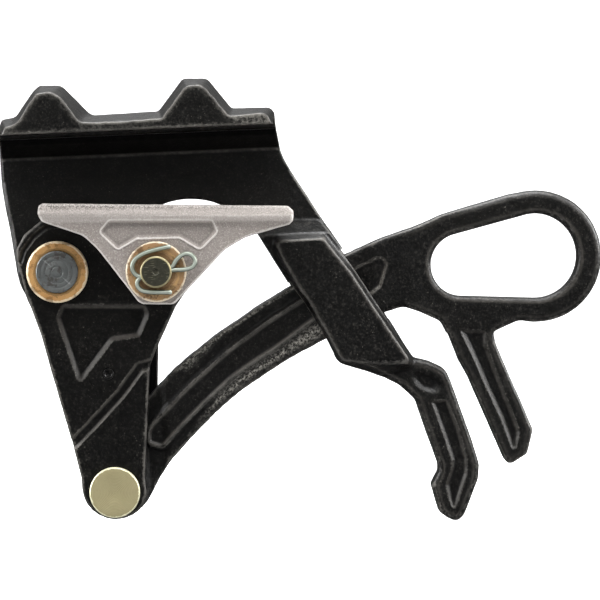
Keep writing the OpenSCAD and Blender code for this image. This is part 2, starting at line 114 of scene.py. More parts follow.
# ------------------------------------------------------------------ fields
def polygon_distance(points, across, up):
    """Signed distance (negative inside) from the samples to a closed polygon."""
    dist = np.full(across.shape, 1e9, np.float32)
    inside = np.zeros(across.shape, bool)
    for i in range(len(points)):
        ax, az = points[i]
        bx, bz = points[(i + 1) % len(points)]
        ex, ez = bx - ax, bz - az
        square = ex * ex + ez * ez
        if square < 1e-12:
            continue
        wx, wz = across - ax, up - az
        t = np.clip((wx * ex + wz * ez) / square, 0, 1)
        dx, dz = wx - ex * t, wz - ez * t
        np.minimum(dist, dx * dx + dz * dz, out=dist)
        if az != bz:
            crosses = (az <= up) != (bz <= up)
            inside ^= crosses & (across < ax + (up - az) * (ex / ez))
    dist = np.sqrt(dist)
    dist[inside] *= -1
    return dist.astype(np.float32)


def meet(a, b, radius):
    """Both a and b, with the edge between them rounded."""
    if radius <= 0:
        return np.maximum(a, b)
    u, v = np.maximum(a + radius, 0), np.maximum(b + radius, 0)
    return np.minimum(np.maximum(a, b), -radius) + np.sqrt(u * u + v * v)


def join(a, b, radius):
    """Either a or b, with a fillet between them."""
    u, v = np.maximum(radius - a, 0), np.maximum(radius - b, 0)
    return np.maximum(np.minimum(a, b), radius) - np.sqrt(u * u + v * v)


def bevel(a, b, size, soft=0.45):
    """Both a and b, with a flat bevel between them and soft borders."""
    return meet(meet(a, (a + b + size) * 0.7071, soft), b, soft)


def smooth(value):
    value = np.clip(value, 0, 1)
    return value * value * (3 - 2 * value)


def lerp(a, b, t):
    return a + (b - a) * t


def stripe(field, at, width, reach=1.3):
    """Soft stripe of 0 to 1 where the field is near one value."""
    return smooth(reach - np.abs(field - at) / width)


def sunk(front, field, depth, wall):
    """Face depth, lowered where the field is negative, over a wall that wide."""
    return front - depth * np.clip(-field / wall, 0, 1)


class Vol:
    """A box of samples, in mm. Corners are x, z, y, and so is the shape of its fields."""

    def __init__(self, low, high, step):
        self.step = step
        self.low = np.array(low, float)
        self.axes = tuple(a + step * np.arange(int(math.ceil((b - a) / step)) + 1)
                          for a, b in zip(low, high))
        x, z, y = (axis.astype(np.float32) for axis in self.axes)
        self.x = x[:, None, None]
        self.z = z[None, :, None]
        self.y = y[None, None, :]
        self.ahead = -self.y
        self.flat_x, self.flat_z = np.meshgrid(x, z, indexing="ij")

    def poly(self, rows, front=0.0):
        """Distance to an outline table, placed front mm ahead of mid depth."""
        points = rounded(np.array([place(row, front) for row in rows]), [row[2] for row in rows])
        return polygon_distance(points, self.flat_x, self.flat_z)[:, :, None]

    def circle(self, centre, radius):
        dist = np.hypot(self.flat_x - centre[0], self.flat_z - centre[1]) - radius
        return dist.astype(np.float32)[:, :, None]

    def radial(self, centre=(0, 0)):
        """Distance to an axis along y."""
        return np.hypot(self.x - centre[0], self.z - centre[1])

    def bore(self, solid, radius, soft, centre=(0, 0)):
        return meet(solid, radius - self.radial(centre), soft)

    def turned(self, origin, angle):
        """x and z on axes turned by the angle about the origin."""
        x, z = self.x - origin[0], self.z - origin[1]
        return (x * math.cos(angle) + z * math.sin(angle),
                z * math.cos(angle) - x * math.sin(angle))

    def line(self, points, front):
        """Distance to an open line through outline points."""
        spots = [place(point, front) for point in points]
        dist = np.full(self.flat_x.shape, 1e9, np.float32)
        for a, b in zip(spots, spots[1:]):
            e = b - a
            t = (self.flat_x - a[0]) * e[0] + (self.flat_z - a[1]) * e[1]
            t = np.clip(t / float(e @ e), 0, 1)
            gap = np.hypot(self.flat_x - a[0] - e[0] * t, self.flat_z - a[1] - e[1] * t)
            np.minimum(dist, gap, out=dist)
        return dist[:, :, None]

    def section(self, points, radii):
        """Distance to a polygon of (y, z) points that runs along x."""
        y, z = np.meshgrid(self.axes[2].astype(np.float32), self.axes[1].astype(np.float32),
                           indexing="ij")
        return polygon_distance(rounded(np.array(points, float), radii), y, z).T[None, :, :]

    def noise(self, size, seed):
        """Smooth noise of about -1 to 1, with features size mm apart."""
        rng = np.random.RandomState(seed)
        weights = []
        for axis in self.axes:
            u = (axis - axis[0]) / size + 1
            i = np.floor(u).astype(int)
            t = u - i
            weight = np.zeros((len(axis), int(u[-1]) + 4), np.float32)
            # uniform cubic B-spline
            basis = ((1 - t) ** 3 / 6, (3 * t**3 - 6 * t**2 + 4) / 6,
                     (-3 * t**3 + 3 * t**2 + 3 * t + 1) / 6, t**3 / 6)
            for k, part in enumerate(basis):
                weight[np.arange(len(axis)), i - 1 + k] = part
            weights.append(weight)
        shape = [weight.shape[1] for weight in weights]
        out = rng.uniform(-1, 1, shape).astype(np.float32) * 2.2
        out = np.tensordot(weights[0], out, (1, 0))
        out = np.tensordot(out, weights[1], (1, 1))
        out = np.tensordot(out, weights[2], (1, 1))
        return out.astype(np.float32)


def sample(vol, field, spots):
    """Trilinear value of the field at spots (n,3) in x, z, y mm."""
    q = np.clip((spots - vol.low) / vol.step, 0, np.array(field.shape) - 1.001)
    i = q.astype(int)
    t = (q - i).astype(np.float32)
    out = 0
    for a in (0, 1):
        for b in (0, 1):
            for c in (0, 1):
                weight = ((t[:, 0] if a else 1 - t[:, 0]) * (t[:, 1] if b else 1 - t[:, 1])
                          * (t[:, 2] if c else 1 - t[:, 2]))
                out = out + weight * field[i[:, 0] + a, i[:, 1] + b, i[:, 2] + c]
    return out


def gradient(vol, field, spots, reach):
    slope = np.zeros(spots.shape)
    for k, shift in enumerate(np.eye(3) * reach):
        slope[:, k] = sample(vol, field, spots + shift) - sample(vol, field, spots - shift)
    return slope / np.maximum(np.linalg.norm(slope, axis=1, keepdims=True), 1e-9)


# ------------------------------------------------------------------ pieces
def read_places(me):
    places = np.zeros(len(me.vertices) * 3)
    me.vertices.foreach_get("co", places)
    return places.reshape(-1, 3)


def face_outward(me):
    me.calc_loop_triangles()
    corners = np.zeros(len(me.loop_triangles) * 3, np.int32)
    me.loop_triangles.foreach_get("vertices", corners)
    a, b, c = read_places(me)[corners.reshape(-1, 3).T]
    if np.einsum("ij,ij->i", a, np.cross(b, c)).sum() < 0:
        me.flip_normals()


def attach(ob, body, node, finish):
    """Gives the piece the material of its (material, slot) finish, of which the slot is not used,
    and its place among the CAD pieces.
    """
    mat, slot = finish
    ob.data.materials.append(mat)
    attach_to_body(ob, body)
    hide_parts(node)


def link_object(name, data):
    ob = bpy.data.objects.new(name, data)
    bpy.context.scene.collection.objects.link(ob)
    return ob


def field_piece(node, kind, vol, field, body, finish, keep, calm=None, paint=None):
    """Turns the field's zero surface into a mesh, decimated to the share keep.

    calm is a (centre, radius) disc without edge wear; paint holds fields saved as attributes."""
    step, name = vol.step, f"{node}_{kind}"
    shape = tuple(len(axis) for axis in vol.axes)
    field = np.broadcast_to(field, shape).astype(np.float32)
    grid = vdb.FloatGrid(3 * step)
    band = np.clip(field, -3 * step, 3 * step)
    grid.copyFromArray(np.ascontiguousarray(band).astype(np.float64))
    points, tris, quads = grid.convertToPolygons(isovalue=0.0, adaptivity=0.0)
    spots = vol.low + step * np.array(points, float)
    dense = bpy.data.meshes.new(name)
    places = (spots[:, [0, 2, 1]] + OFFSET) * 0.001
    dense.from_pydata(places.tolist(), [], quads.tolist() + tris.tolist())
    ob = link_object(name, dense)
    ob.modifiers.new("d", "DECIMATE").ratio = keep
    graph = bpy.context.evaluated_depsgraph_get()
    me = bpy.data.meshes.new_from_object(ob.evaluated_get(graph))
    ob.modifiers.clear()
    ob.data = me
    bpy.data.meshes.remove(dense)
    me.name = name
    # back onto the zero surface
    spots = (read_places(me) * 1000 - OFFSET)[:, [0, 2, 1]]
    for _ in range(2):
        slope = gradient(vol, field, spots, 0.6 * step)
        spots = spots - slope * sample(vol, field, spots)[:, None]
    normals = gradient(vol, field, spots, 0.8 * step)

    def save(label, values):
        attribute = me.attributes.new(label, "FLOAT", "POINT")
        attribute.data.foreach_set("value", np.asarray(values, np.float32))

    # curvature: above 0 on ridges, below 0 in corners
    for label, reach in (("ridge", 0.9), ("ridge_wide", 2.4)):
        bend = -6 * sample(vol, field, spots)
        for shift in np.eye(3) * reach:
            bend = bend + sample(vol, field, spots + shift) + sample(vol, field, spots - shift)
        if calm:
            centre, radius = calm
            away = np.hypot(spots[:, 0] - centre[0], spots[:, 1] - centre[1]) - radius
            bend = bend * np.clip(away / 0.4, 0, 1)
        save(label, bend / reach)
    for label, mask in (paint or {}).items():
        save(label, sample(vol, np.broadcast_to(mask, shape), spots))
    places = ((spots[:, [0, 2, 1]] + OFFSET) * 0.001).astype(np.float32)
    me.vertices.foreach_set("co", places.ravel())
    face_outward(me)
    me.polygons.foreach_set("use_smooth", np.ones(len(me.polygons), bool))
    me.update()
    me.normals_split_custom_set_from_vertices([tuple(n) for n in normals[:, [0, 2, 1]]])
    attach(ob, body, node, finish)


def mesh_piece(node, kind, verts, faces, body, finish, sharp=32):
    name = f"{node}_{kind}"
    me = bpy.data.meshes.new(name)
    me.from_pydata([tuple((np.array(p) + OFFSET) * 0.001) for p in verts], [], faces)
    me.validate()
    me.update()
    face_outward(me)
    me.shade_smooth()
    me.set_sharp_from_angle(angle=math.radians(sharp))
    attach(link_object(name, me), body, node, finish)


# ------------------------------------------------------------------ materials
def linear(shade):
    """Linear colour of an sRGB shade of 0 to 255."""
    return tuple((v / 255 / 12.92) if v <= 10 else ((v / 255 + 0.055) / 1.055) ** 2.4
                 for v in shade)


class Shader:
    """A material under construction; colour is its base colour so far."""

    def __init__(self, name):
        self.mat = bpy.data.materials.new(name)
        self.mat.use_nodes = True
        self.tree = self.mat.node_tree
        self.bsdf = next(n for n in self.tree.nodes if n.type == "BSDF_PRINCIPLED")
        self.spot = self.tree.nodes.new("ShaderNodeTexCoord").outputs["Object"]

    def put(self, node, key, value):
        """Links a socket, or sets a value, into the input with that name or number."""
        socket = node.inputs[key]
        if hasattr(value, "is_output"):
            self.tree.links.new(value, socket)
        else:
            socket.default_value = value

    def add(self, kind, **inputs):
        node = self.tree.nodes.new(kind)
        for key, value in inputs.items():
            self.put(node, key, value)
        return node

    def noise(self, scale, detail, rough, stretch=None):
        source = self.spot
        if stretch:
            source = self.add("ShaderNodeMapping", Vector=source, Scale=stretch).outputs[0]
        return self.add("ShaderNodeTexNoise", Vector=source, Scale=scale, Detail=detail,
                        Roughness=rough).outputs[0]

    def math(self, op, a, b=0.0, c=0.0):
        node = self.tree.nodes.new("ShaderNodeMath")
        node.operation = op
        for i, value in enumerate((a, b, c)):
            self.put(node, i, value)
        return node.outputs[0]

    def times(self, a, b):
        return self.math("MULTIPLY", a, b)

    def ramp(self, value, over, to=(0.0, 1.0)):
        """Smooth step across the range over, mapped to the range to."""
        node = self.tree.nodes.new("ShaderNodeMapRange")
        node.interpolation_type = "SMOOTHSTEP"
        for i, entry in enumerate((value, *over, *to)):
            self.put(node, i, entry)
        return node.outputs[0]

    def patches(self, scale, detail, rough, over, to=(0.0, 1.0)):
        return self.ramp(self.noise(scale, detail, rough), over, to)

    def mix(self, mask, a, b):
        node = self.tree.nodes.new("ShaderNodeMix")
        node.data_type = "RGBA"
        self.put(node, 0, mask)
        for socket, value in zip([i for i in node.inputs if i.type == "RGBA"], (a, b)):
            if hasattr(value, "is_output"):
                self.tree.links.new(value, socket)
            else:
                socket.default_value = tuple(value) + (1.0,)
        return next(o for o in node.outputs if o.type == "RGBA")

    def base(self, mask, low, high):
        self.colour = self.mix(mask, linear(low), linear(high))

    def tint(self, mask, shade, amount=None):
        """Lays an sRGB shade over the colour where the mask is up."""
        if amount is not None:
            mask = self.times(mask, amount)
        self.colour = self.mix(mask, self.colour, linear(shade))

    def attr(self, name):
        node = self.tree.nodes.new("ShaderNodeAttribute")
        node.attribute_name = name
        return node.outputs["Fac"]

    def split(self, vector):
        return self.add("ShaderNodeSeparateXYZ", Vector=vector).outputs

    def radial(self, centre):
        """Distance in metres to an axis along y."""
        spot = self.split(self.spot)
        dx = self.math("SUBTRACT", spot[0], (centre[0] + OFFSET[0]) * 0.001)
        dz = self.math("SUBTRACT", spot[2], (centre[1] + OFFSET[2]) * 0.001)
        return self.math("SQRT", self.math("ADD", self.times(dx, dx), self.times(dz, dz)))

    def worn_edges(self, grain, over):
        """Convex edges, broken up by noise."""
        noise = self.noise(scale=grain, detail=3, rough=0.6)
        jitter = self.times(self.math("SUBTRACT", noise, 0.5), 1.6)
        return self.ramp(self.math("ADD", self.attr("ridge"), jitter), over)

    def bump(self, height, strength, distance, under=None):
        node = self.add("ShaderNodeBump", Height=height, Strength=strength, Distance=distance)
        if under is not None:
            self.put(node, "Normal", under)
        return node.outputs[0]

    def finish(self, **inputs):
        """Sets the shader's inputs (underscores stand for spaces) and returns the material."""
        self.put(self.bsdf, "Base Color", self.colour)
        for key, value in inputs.items():
            self.put(self.bsdf, key.replace("_", " "), value)
        return self.mat


def forged(name, sheen, wear):
    """Black enamel over a grainy forging, rubbed and chipped, with painted shade under the ledge
    and in corners and painted highlights on rims and walls.
    """
    mat = Shader(name)
    mid = mat.noise(scale=330, detail=5, rough=0.62)
    fine = mat.noise(scale=1500, detail=3, rough=0.6)
    mat.base(mat.noise(scale=38, detail=3, rough=0.5), (4, 4, 4), (11, 11, 10))
    grain = mat.patches(scale=900, detail=4, rough=0.75, over=(0.5, 0.64))
    patch = mat.patches(scale=110, detail=3, rough=0.6, over=(0.36, 0.64), to=(0.32, 0.6))
    mat.tint(mat.times(grain, patch), (47, 45, 42), amount=wear)
    mat.tint(mat.ramp(mid, over=(0.62, 0.72)), (60, 57, 52), amount=0.35)
    glint = mat.times(mat.patches(scale=1150, detail=2, rough=0.5, over=(0.69, 0.73)),
                      mat.patches(scale=55, detail=2, rough=0.5, over=(0.42, 0.6)))
    mat.tint(glint, (104, 101, 94), amount=0.45)
    # paler tint on rims and walls: partly rubbed paint, partly a painted highlight
    rubbed = mat.ramp(mid, over=(0.3, 0.7), to=(0.35, 0.75))
    mat.tint(mat.times(mat.attr("rub_and_highlight"), rubbed), (66, 63, 59))
    # pale flakes where the scale attribute is up: chipped paint and forging scale, and along the
    # drawbar's top edge a painted highlight as well
    flakes = mat.patches(scale=1000, detail=4, rough=0.75, over=(0.44, 0.62))
    mat.tint(mat.times(flakes, mat.attr("scale")), (136, 133, 126), amount=0.9)
    worn = mat.times(mat.worn_edges(grain=900.0, over=(0.5, 1.0)),
                     mat.patches(scale=90, detail=3, rough=0.6, over=(0.36, 0.6), to=(0.3, 1.0)))
    mat.tint(worn, (104, 101, 96), amount=0.42)
    # painted shade on the underside of the ledge (darker colour and lower specular), and along the
    # crease where it meets the plate a broken pale line, partly chipped paint, partly a painted
    # highlight
    spot = mat.split(mat.spot)
    z = mat.math("SUBTRACT", spot[2], (LIP_Z + OFFSET[2]) * 0.001)
    fore = mat.ramp(spot[1], over=((OFFSET[1] - 5.0) * 0.001, (OFFSET[1] - 4.0) * 0.001),
                    to=(1.0, 0.0))
    under = mat.times(mat.ramp(z, over=(-0.0108, -0.0100)),
                      mat.ramp(z, over=(-0.0012, -0.0006), to=(1.0, 0.0)))
    under = mat.times(fore, under)
    mat.tint(under, (3, 3, 3), amount=0.85)
    crease = mat.times(mat.ramp(z, over=(-0.0125, -0.0114)),
                       mat.ramp(z, over=(-0.0112, -0.0104), to=(1.0, 0.0)))
    broken = mat.patches(scale=420, detail=3, rough=0.6, over=(0.4, 0.7), to=(0.15, 0.9))
    mat.tint(mat.times(mat.times(crease, broken), fore), (74, 72, 68))
    # painted shade: darker in concave corners and hollows
    low = mat.ramp(mat.attr("ridge_wide"), over=(-0.9, -0.25), to=(1.0, 0.0))
    mat.tint(low, (7, 7, 8), amount=0.5)
    rough = mat.ramp(mid, over=(0.3, 0.75), to=(0.3, 0.46))
    bump = mat.bump(mid, strength=0.42, distance=0.0006)
    return mat.finish(
        Metallic=mat.times(worn, 0.25),
        Roughness=mat.math("ADD", rough, mat.times(worn, 0.1)),
        # lower specular under the ledge: part of the painted shade there
        Specular_IOR_Level=mat.math("MULTIPLY_ADD", under, -0.34 * sheen / 0.42, sheen),
        Normal=mat.bump(fine, strength=0.5, distance=0.00025, under=bump))


def cast_grey():
    """Gritty grey casting, with a painted highlight on the bar along the top of the lower jaw and
    painted light in the shaded hollow just under it.
    """
    mat = Shader("cast_jaw_steel")
    mid = mat.noise(scale=1300, detail=5, rough=0.75)
    pits = mat.add("ShaderNodeTexVoronoi", Vector=mat.spot, Scale=1500.0).outputs["Distance"]
    spot = mat.split(mat.spot)
    height = mat.math("ADD", spot[2], mat.times(spot[0], JAW_SLOPE))
    edge = JAW_TOP + OFFSET[2] + OFFSET[0] * JAW_SLOPE

    def above(low, high, to=(0.0, 1.0)):
        """Ramp between two heights in mm from the top of the jaw's face."""
        return mat.ramp(height, over=((edge + low) * 0.001, (edge + high) * 0.001), to=to)

    # painted highlight: the bar above the top of the jaw's face is tinted paler
    band = above(-0.6, 0.6)
    mat.base(mat.noise(scale=45, detail=3, rough=0.5), (122, 115, 110), (144, 137, 132))
    mat.tint(band, (166, 160, 155), amount=0.55)
    mat.tint(mat.ramp(mid, over=(0.5, 0.66), to=(0.0, 0.55)), (192, 186, 181))
    grit = mat.patches(scale=2300, detail=3, rough=0.7, over=(0.36, 0.5), to=(0.45, 0.0))
    mat.tint(grit, (88, 82, 78))
    top = above(2.2, 5.0)
    # painted light: the shaded hollow just under the bar is tinted paler
    foot = mat.times(above(-3.6, -2.0), above(-0.2, 0.8, to=(1.0, 0.0)))
    mat.tint(foot, (196, 190, 185), amount=0.4)
    soot = mat.times(mat.patches(scale=1500, detail=3, rough=0.7, over=(0.46, 0.54)),
                     mat.math("MULTIPLY_ADD", top, 0.8, 0.14))
    mat.tint(soot, (74, 69, 66))
    worn = mat.worn_edges(grain=1200.0, over=(0.35, 0.9))
    mat.tint(mat.times(worn, mat.math("SUBTRACT", 0.4, mat.times(band, 0.28))), (222, 218, 214))
    # painted shade: darker in concave corners
    low = mat.ramp(mat.attr("ridge_wide"), over=(-0.9, -0.2), to=(1.0, 0.0))
    mat.tint(low, (92, 88, 84), amount=0.25)
    bump = mat.bump(mid, strength=0.7, distance=0.0006)
    return mat.finish(Metallic=0.3, Roughness=mat.ramp(mid, over=(0.3, 0.7), to=(0.42, 0.6)),
                      Normal=mat.bump(pits, strength=0.25, distance=0.0003, under=bump))


def plated(name, low, high, stain, metallic, rough, mottle=0.55, rings=True, centre=ORIGIN,
           bands=(), painted_flank_shade=None):
    """Plated steel with stains and worn edges.

    rings adds faint turning rings round centre; bands are (inner radius, outer radius, shade,
    amount) rows in mm, rings of colour that hold painted highlights on rims and painted shade next
    to bores; painted_flank_shade is the shade painted on faces that look away from the y axis."""
    mat = Shader(name)
    mid = mat.noise(scale=700, detail=4, rough=0.6)
    mat.base(mat.noise(scale=120, detail=3, rough=0.5), low, high)
    mat.tint(mat.ramp(mid, over=(0.55, 0.72), to=(0.0, mottle)), stain)
    if rings:
        radius = mat.radial(centre)
    if bands:
        jitter = mat.times(mat.math("SUBTRACT", mid, 0.5), 0.002)
        wavy = mat.math("ADD", radius, jitter)
    # rings of colour: pale ones on rims are painted highlights, dark ones next to the bores
    # painted shade
    for inner, outer, shade, amount in bands:
        fade_in = mat.ramp(wavy, over=(inner * 0.001, (inner + 0.4) * 0.001))
        fade_out = mat.ramp(wavy, over=((outer - 0.4) * 0.001, outer * 0.001), to=(amount, 0.0))
        mat.tint(mat.times(fade_in, fade_out), shade)
    tarnish = mat.patches(scale=210, detail=3, rough=0.65, over=(0.52, 0.6),
                          to=(0.0, min(0.6, mottle)))
    mat.colour = mat.mix(tarnish, mat.colour, tuple(0.6 * c for c in linear(stain)))
    geometry = mat.tree.nodes.new("ShaderNodeNewGeometry").outputs
    if painted_flank_shade:
        # painted shade on faces that look away from the y axis
        facing = mat.math("ABSOLUTE", mat.split(geometry["Normal"])[1])
        mat.tint(mat.ramp(facing, over=(0.55, 0.98), to=(0.9, 0.0)), painted_flank_shade)
    edges = mat.times(mat.ramp(geometry["Pointiness"], over=(0.52, 0.6)), 0.5)
    mat.colour = mat.mix(edges, mat.colour, tuple(min(1, c * 1.6 + 0.08) for c in linear(high)))
    if rings:
        wave = mat.math("SINE", mat.times(radius, 9000.0))
        height = mat.math("ADD", mid, mat.times(wave, 0.35))
    else:
        height = mat.times(mid, 0.0)
    return mat.finish(Metallic=metallic, Roughness=mat.ramp(mid, over=(0.3, 0.7), to=rough),
                      Normal=mat.bump(height, strength=0.3, distance=0.00025))


def jaw_pin_finish():
    """Dark and scratched round the pin's axis, with a pale rim."""
    mat = Shader("jaw_pin_steel")
    mid = mat.noise(scale=600, detail=4, rough=0.6)
    scratch = mat.noise(scale=300, detail=2, rough=0.5, stretch=(1, 6, 9))
    mat.base(mid, (40, 40, 34), (74, 73, 62))
    mat.tint(mat.ramp(scratch, over=(0.62, 0.68), to=(0.0, 0.7)), (128, 126, 104))
    rim = mat.mix(mid, linear((120, 110, 78)), linear((172, 164, 130)))
    at_rim = mat.ramp(mat.radial(JAW_PIN), over=(0.0064, 0.0067))
    mat.colour = mat.mix(at_rim, mat.colour, rim)
    return mat.finish(Metallic=0.6, Roughness=mat.ramp(mid, over=(0.3, 0.7), to=(0.3, 0.48)),
                      Normal=mat.bump(mat.math("ADD", mid, scratch), strength=0.35,
                                      distance=0.0003))


# (material, slot) of each finish; those of the turned parts and wires follow further down
BLACK = (forged("forged_black_enamel", sheen=0.42, wear=1.0), "forged_black")
# a shaded copy of the black enamel for the link plates: less specular and less grain make them
# darker, standing in for shade
LINK_BLACK_SHADED = (forged("forged_black_link_shaded", sheen=0.27, wear=0.7), "forged_black")
GREY = (cast_grey(), "cast_jaw")

# ------------------------------------------------------------------ frame: right, up, radius
PLATE = [
    (-124.32, 35.04, 1), (-123.12, 38.16, 1.5), (-116.64, 39.36, 4), (-108, 51.84, 3),
    (-105.12, 54.528, 3), (-95.04, 54.528, 4), (-82.08, 41.472, 3), (-79.68, 40.32, 3),
    (-48.48, 42.24, 3), (-37.44, 57.12, 3), (-36, 57.84, 2), (-25.152, 57.84, 4),
    (-14.4, 44.64, 2), (-12.96, 43.68, 2), (4.8, 44.16, 3), (6.72, 41.76, 1.5),
    (7.008, 38.88, 2), (7.68, 33.6, 6), (9.6, 24, 10), (11.52, 19.2, 10), (14.4, 14.4, 14),
    (30.72, -10.56, 8), (44.16, -31.68, 0), (33.6, -48, 0), (16.8, -44.16, 0),
    (-0.96, -16.32, 0), (-32.88, -36, 0), (-66.72, -49.44, 3), (-73.92, -54.72, 6),
    (-96, -57.6, 0), (-110.4, -48, 6), (-114.24, -40.32, 6), (-116.16, -34.56, 5),
    (-119.376, -14.4, 10), (-121.44, -4.8, 10), (-123.36, 7.2, 10), (-124.56, 28.8, 3)]
LEDGE = [
    (-123.84, 30.24, 1), (-122.4, 34.56, 1.5), (-118.56, 35.52, 4), (-115.2, 38.4, 3),
    (-107.52, 50.4, 3), (-105.12, 51.12, 2), (-99.84, 51.36, 4), (-96, 49.44, 4),
    (-87.36, 38.4, 4), (-85.44, 36.96, 4), (-76.8, 36.96, 4), (-52.8, 38.4, 4),
    (-47.04, 38.88, 3), (-36.96, 52.8, 3), (-34.56, 54.72, 3), (-28.8, 54.96, 4),
    (-25.44, 52.8, 4), (-15.36, 40.8, 3), (-13.44, 40.32, 3), (1.92, 41.76, 3),
    (3.84, 40.32, 2), (5.28, 37.44, 3), (7.2, 24, 0), (7.2, 4.8, 0), (-122.88, 0, 0)]
PAD_FOOT = [
    (6.72, -19.2, 2.5), (29.76, -17.28, 3), (43.2, -34.08, 8), (57.6, -55.68, 8),
    (73.44, -79.2, 2), (57.6, -82.56, 4), (38.88, -77.28, 4), (33.12, -65.76, 4),
    (23.04, -48, 8), (19.2, -43.2, 8), (11.52, -29.76, 8)]
PAD = PAD_FOOT[:4] + [(72.96, -78.24, 2), (57.6, -78.24, 3), (39.36, -77.04, 4)] + PAD_FOOT[7:]
ARM_FOOT = [
    (59.52, -53.28, 8), (74.4, -77.76, 3), (57.6, -83.52, 4), (38.88, -77.28, 4),
    (32.16, -65.76, 4), (15.36, -42.24, 2)]
ARM_FRONT = [
    (-0.48, -16.8, 0), (5.76, -12.48, 4), (14.4, -9.12, 6), (28.32, -9.12, 6),
    (33.6, -14.88, 6), (42.24, -26.88, 6)] + ARM_FOOT
ARM_REAR = [(-0.48, -16.8, 0), (31.68, -14.4, 0), (41.28, -26.88, 6)] + ARM_FOOT
LEVER = [
    (34.08, -68.16, 3), (38.88, -76.8, 6), (52.8, -81.12, 14), (67.2, -88.32, 10),
    (74.88, -95.52, 8), (78.72, -107.04, 10), (85.92, -126.72, 6), (85.92, -130.08, 3),
    (82.56, -136.8, 3), (84.48, -143.04, 4), (86.4, -149.28, 3), (90.24, -151.968, 4),
    (94.56, -153.504, 3), (97.68, -150.432, 4), (104.16, -133.44, 5), (104.64, -126.72, 5),
    (100.8, -114.24, 12), (90.72, -86.4, 6), (88.32, -81.12, 8), (80.64, -77.76, 5),
    (72.48, -75.84, 2), (64.8, -67.2, 0)]
LEVER_STRIP = [
    (82.08, -96.48, 1), (88.8, -115.2, 2), (92.16, -125.28, 2), (91.68, -129.6, 1),
    (89.28, -136.8, 1), (90.72, -144, 1), (92.64, -148.8, 1), (94.56, -147.84, 1),
    (99.84, -132, 1), (99.84, -124.32, 2), (96, -110.4, 2), (90.24, -95.52, 1)]


def upper_jaw(vol):
    """The ledge over the rope, and the field of its outline."""
    ahead = vol.ahead
    # front outline drawn up to the plate's outline behind it
    back = np.clip((LEDGE_FRONT - ahead) / 21.0, 0, 1)
    ledge = lerp(vol.poly(LEDGE, LEDGE_FRONT), vol.poly(PLATE, 12), back)
    wall = -ROPE_Y + ROPE_R - 0.3
    profile = vol.section(
        [[1, 44], [1, 110], [-LEDGE_FRONT, 110], [-LEDGE_FRONT, LIP_Z + 0.35],
         [-LEDGE_FRONT + 0.35, LIP_Z], [wall, LIP_Z], [wall, LIP_Z - 1.8],
         [-LINK_OUT + 0.2, LIP_Z - 1.8], [-LINK_OUT + 1, LIP_Z - 4.5],
         [-PLATE_HALF - 1.7, LIP_Z - 9.8], [-PLATE_HALF, LIP_Z - 11.8], [-PLATE_HALF, 44]],
        [0, 0, 0, 0.2, 0.2, 0, 0, 0.5, 1, 0.6, 0.4, 0])
    uneven = 0.22 * vol.noise(2.2, 14) * smooth((ahead - LEDGE_FRONT + 4) / 3)
    solid = bevel(ledge + uneven, ahead - LEDGE_FRONT, 0.55, 0.4)
    return meet(solid, profile, 0.35), ledge


def arm(vol):
    """A low shoulder that carries the raised pad, its rear cheek, and the pad's outline."""
    ahead = vol.ahead
    back = np.clip((PAD_FRONT - ahead) / 6.5, 0, 1)
    pad = vol.poly(PAD, PAD_FRONT)
    solid = bevel(lerp(pad, vol.poly(PAD_FOOT, PAD_FRONT), back) - 1.5 * back,
                  ahead - PAD_FRONT, 0.7, 0.6)
    foot = place((19.2, -9.12), 8)[1]
    knee = place((19.2, -15.84), 9)[1]
    top = place((19.2, -19.2), 15)[1]
    ramp = vol.section(
        [[0, foot + 2], [-PLATE_HALF, foot], [-PLATE_HALF - 2.6, knee], [-PAD_FRONT, top],
         [-PAD_FRONT - 4, top], [-PAD_FRONT - 4, top - 90], [0, top - 90]],
        [0, 2, 1.0, 1.5, 0, 0, 0])
    shoulder = meet(vol.poly(ARM_FRONT, 7), ahead - (PLATE_HALF + 3.0), 1.8)
    solid = join(solid, shoulder, 1.6)
    solid = meet(meet(solid, ramp, 0.8), -ahead - 1, 0)
    cheek = meet(meet(vol.poly(ARM_REAR), -ahead - CHEEK_REAR, 2.2), ahead - 6, 0)
    return join(solid, cheek, 0.2), pad


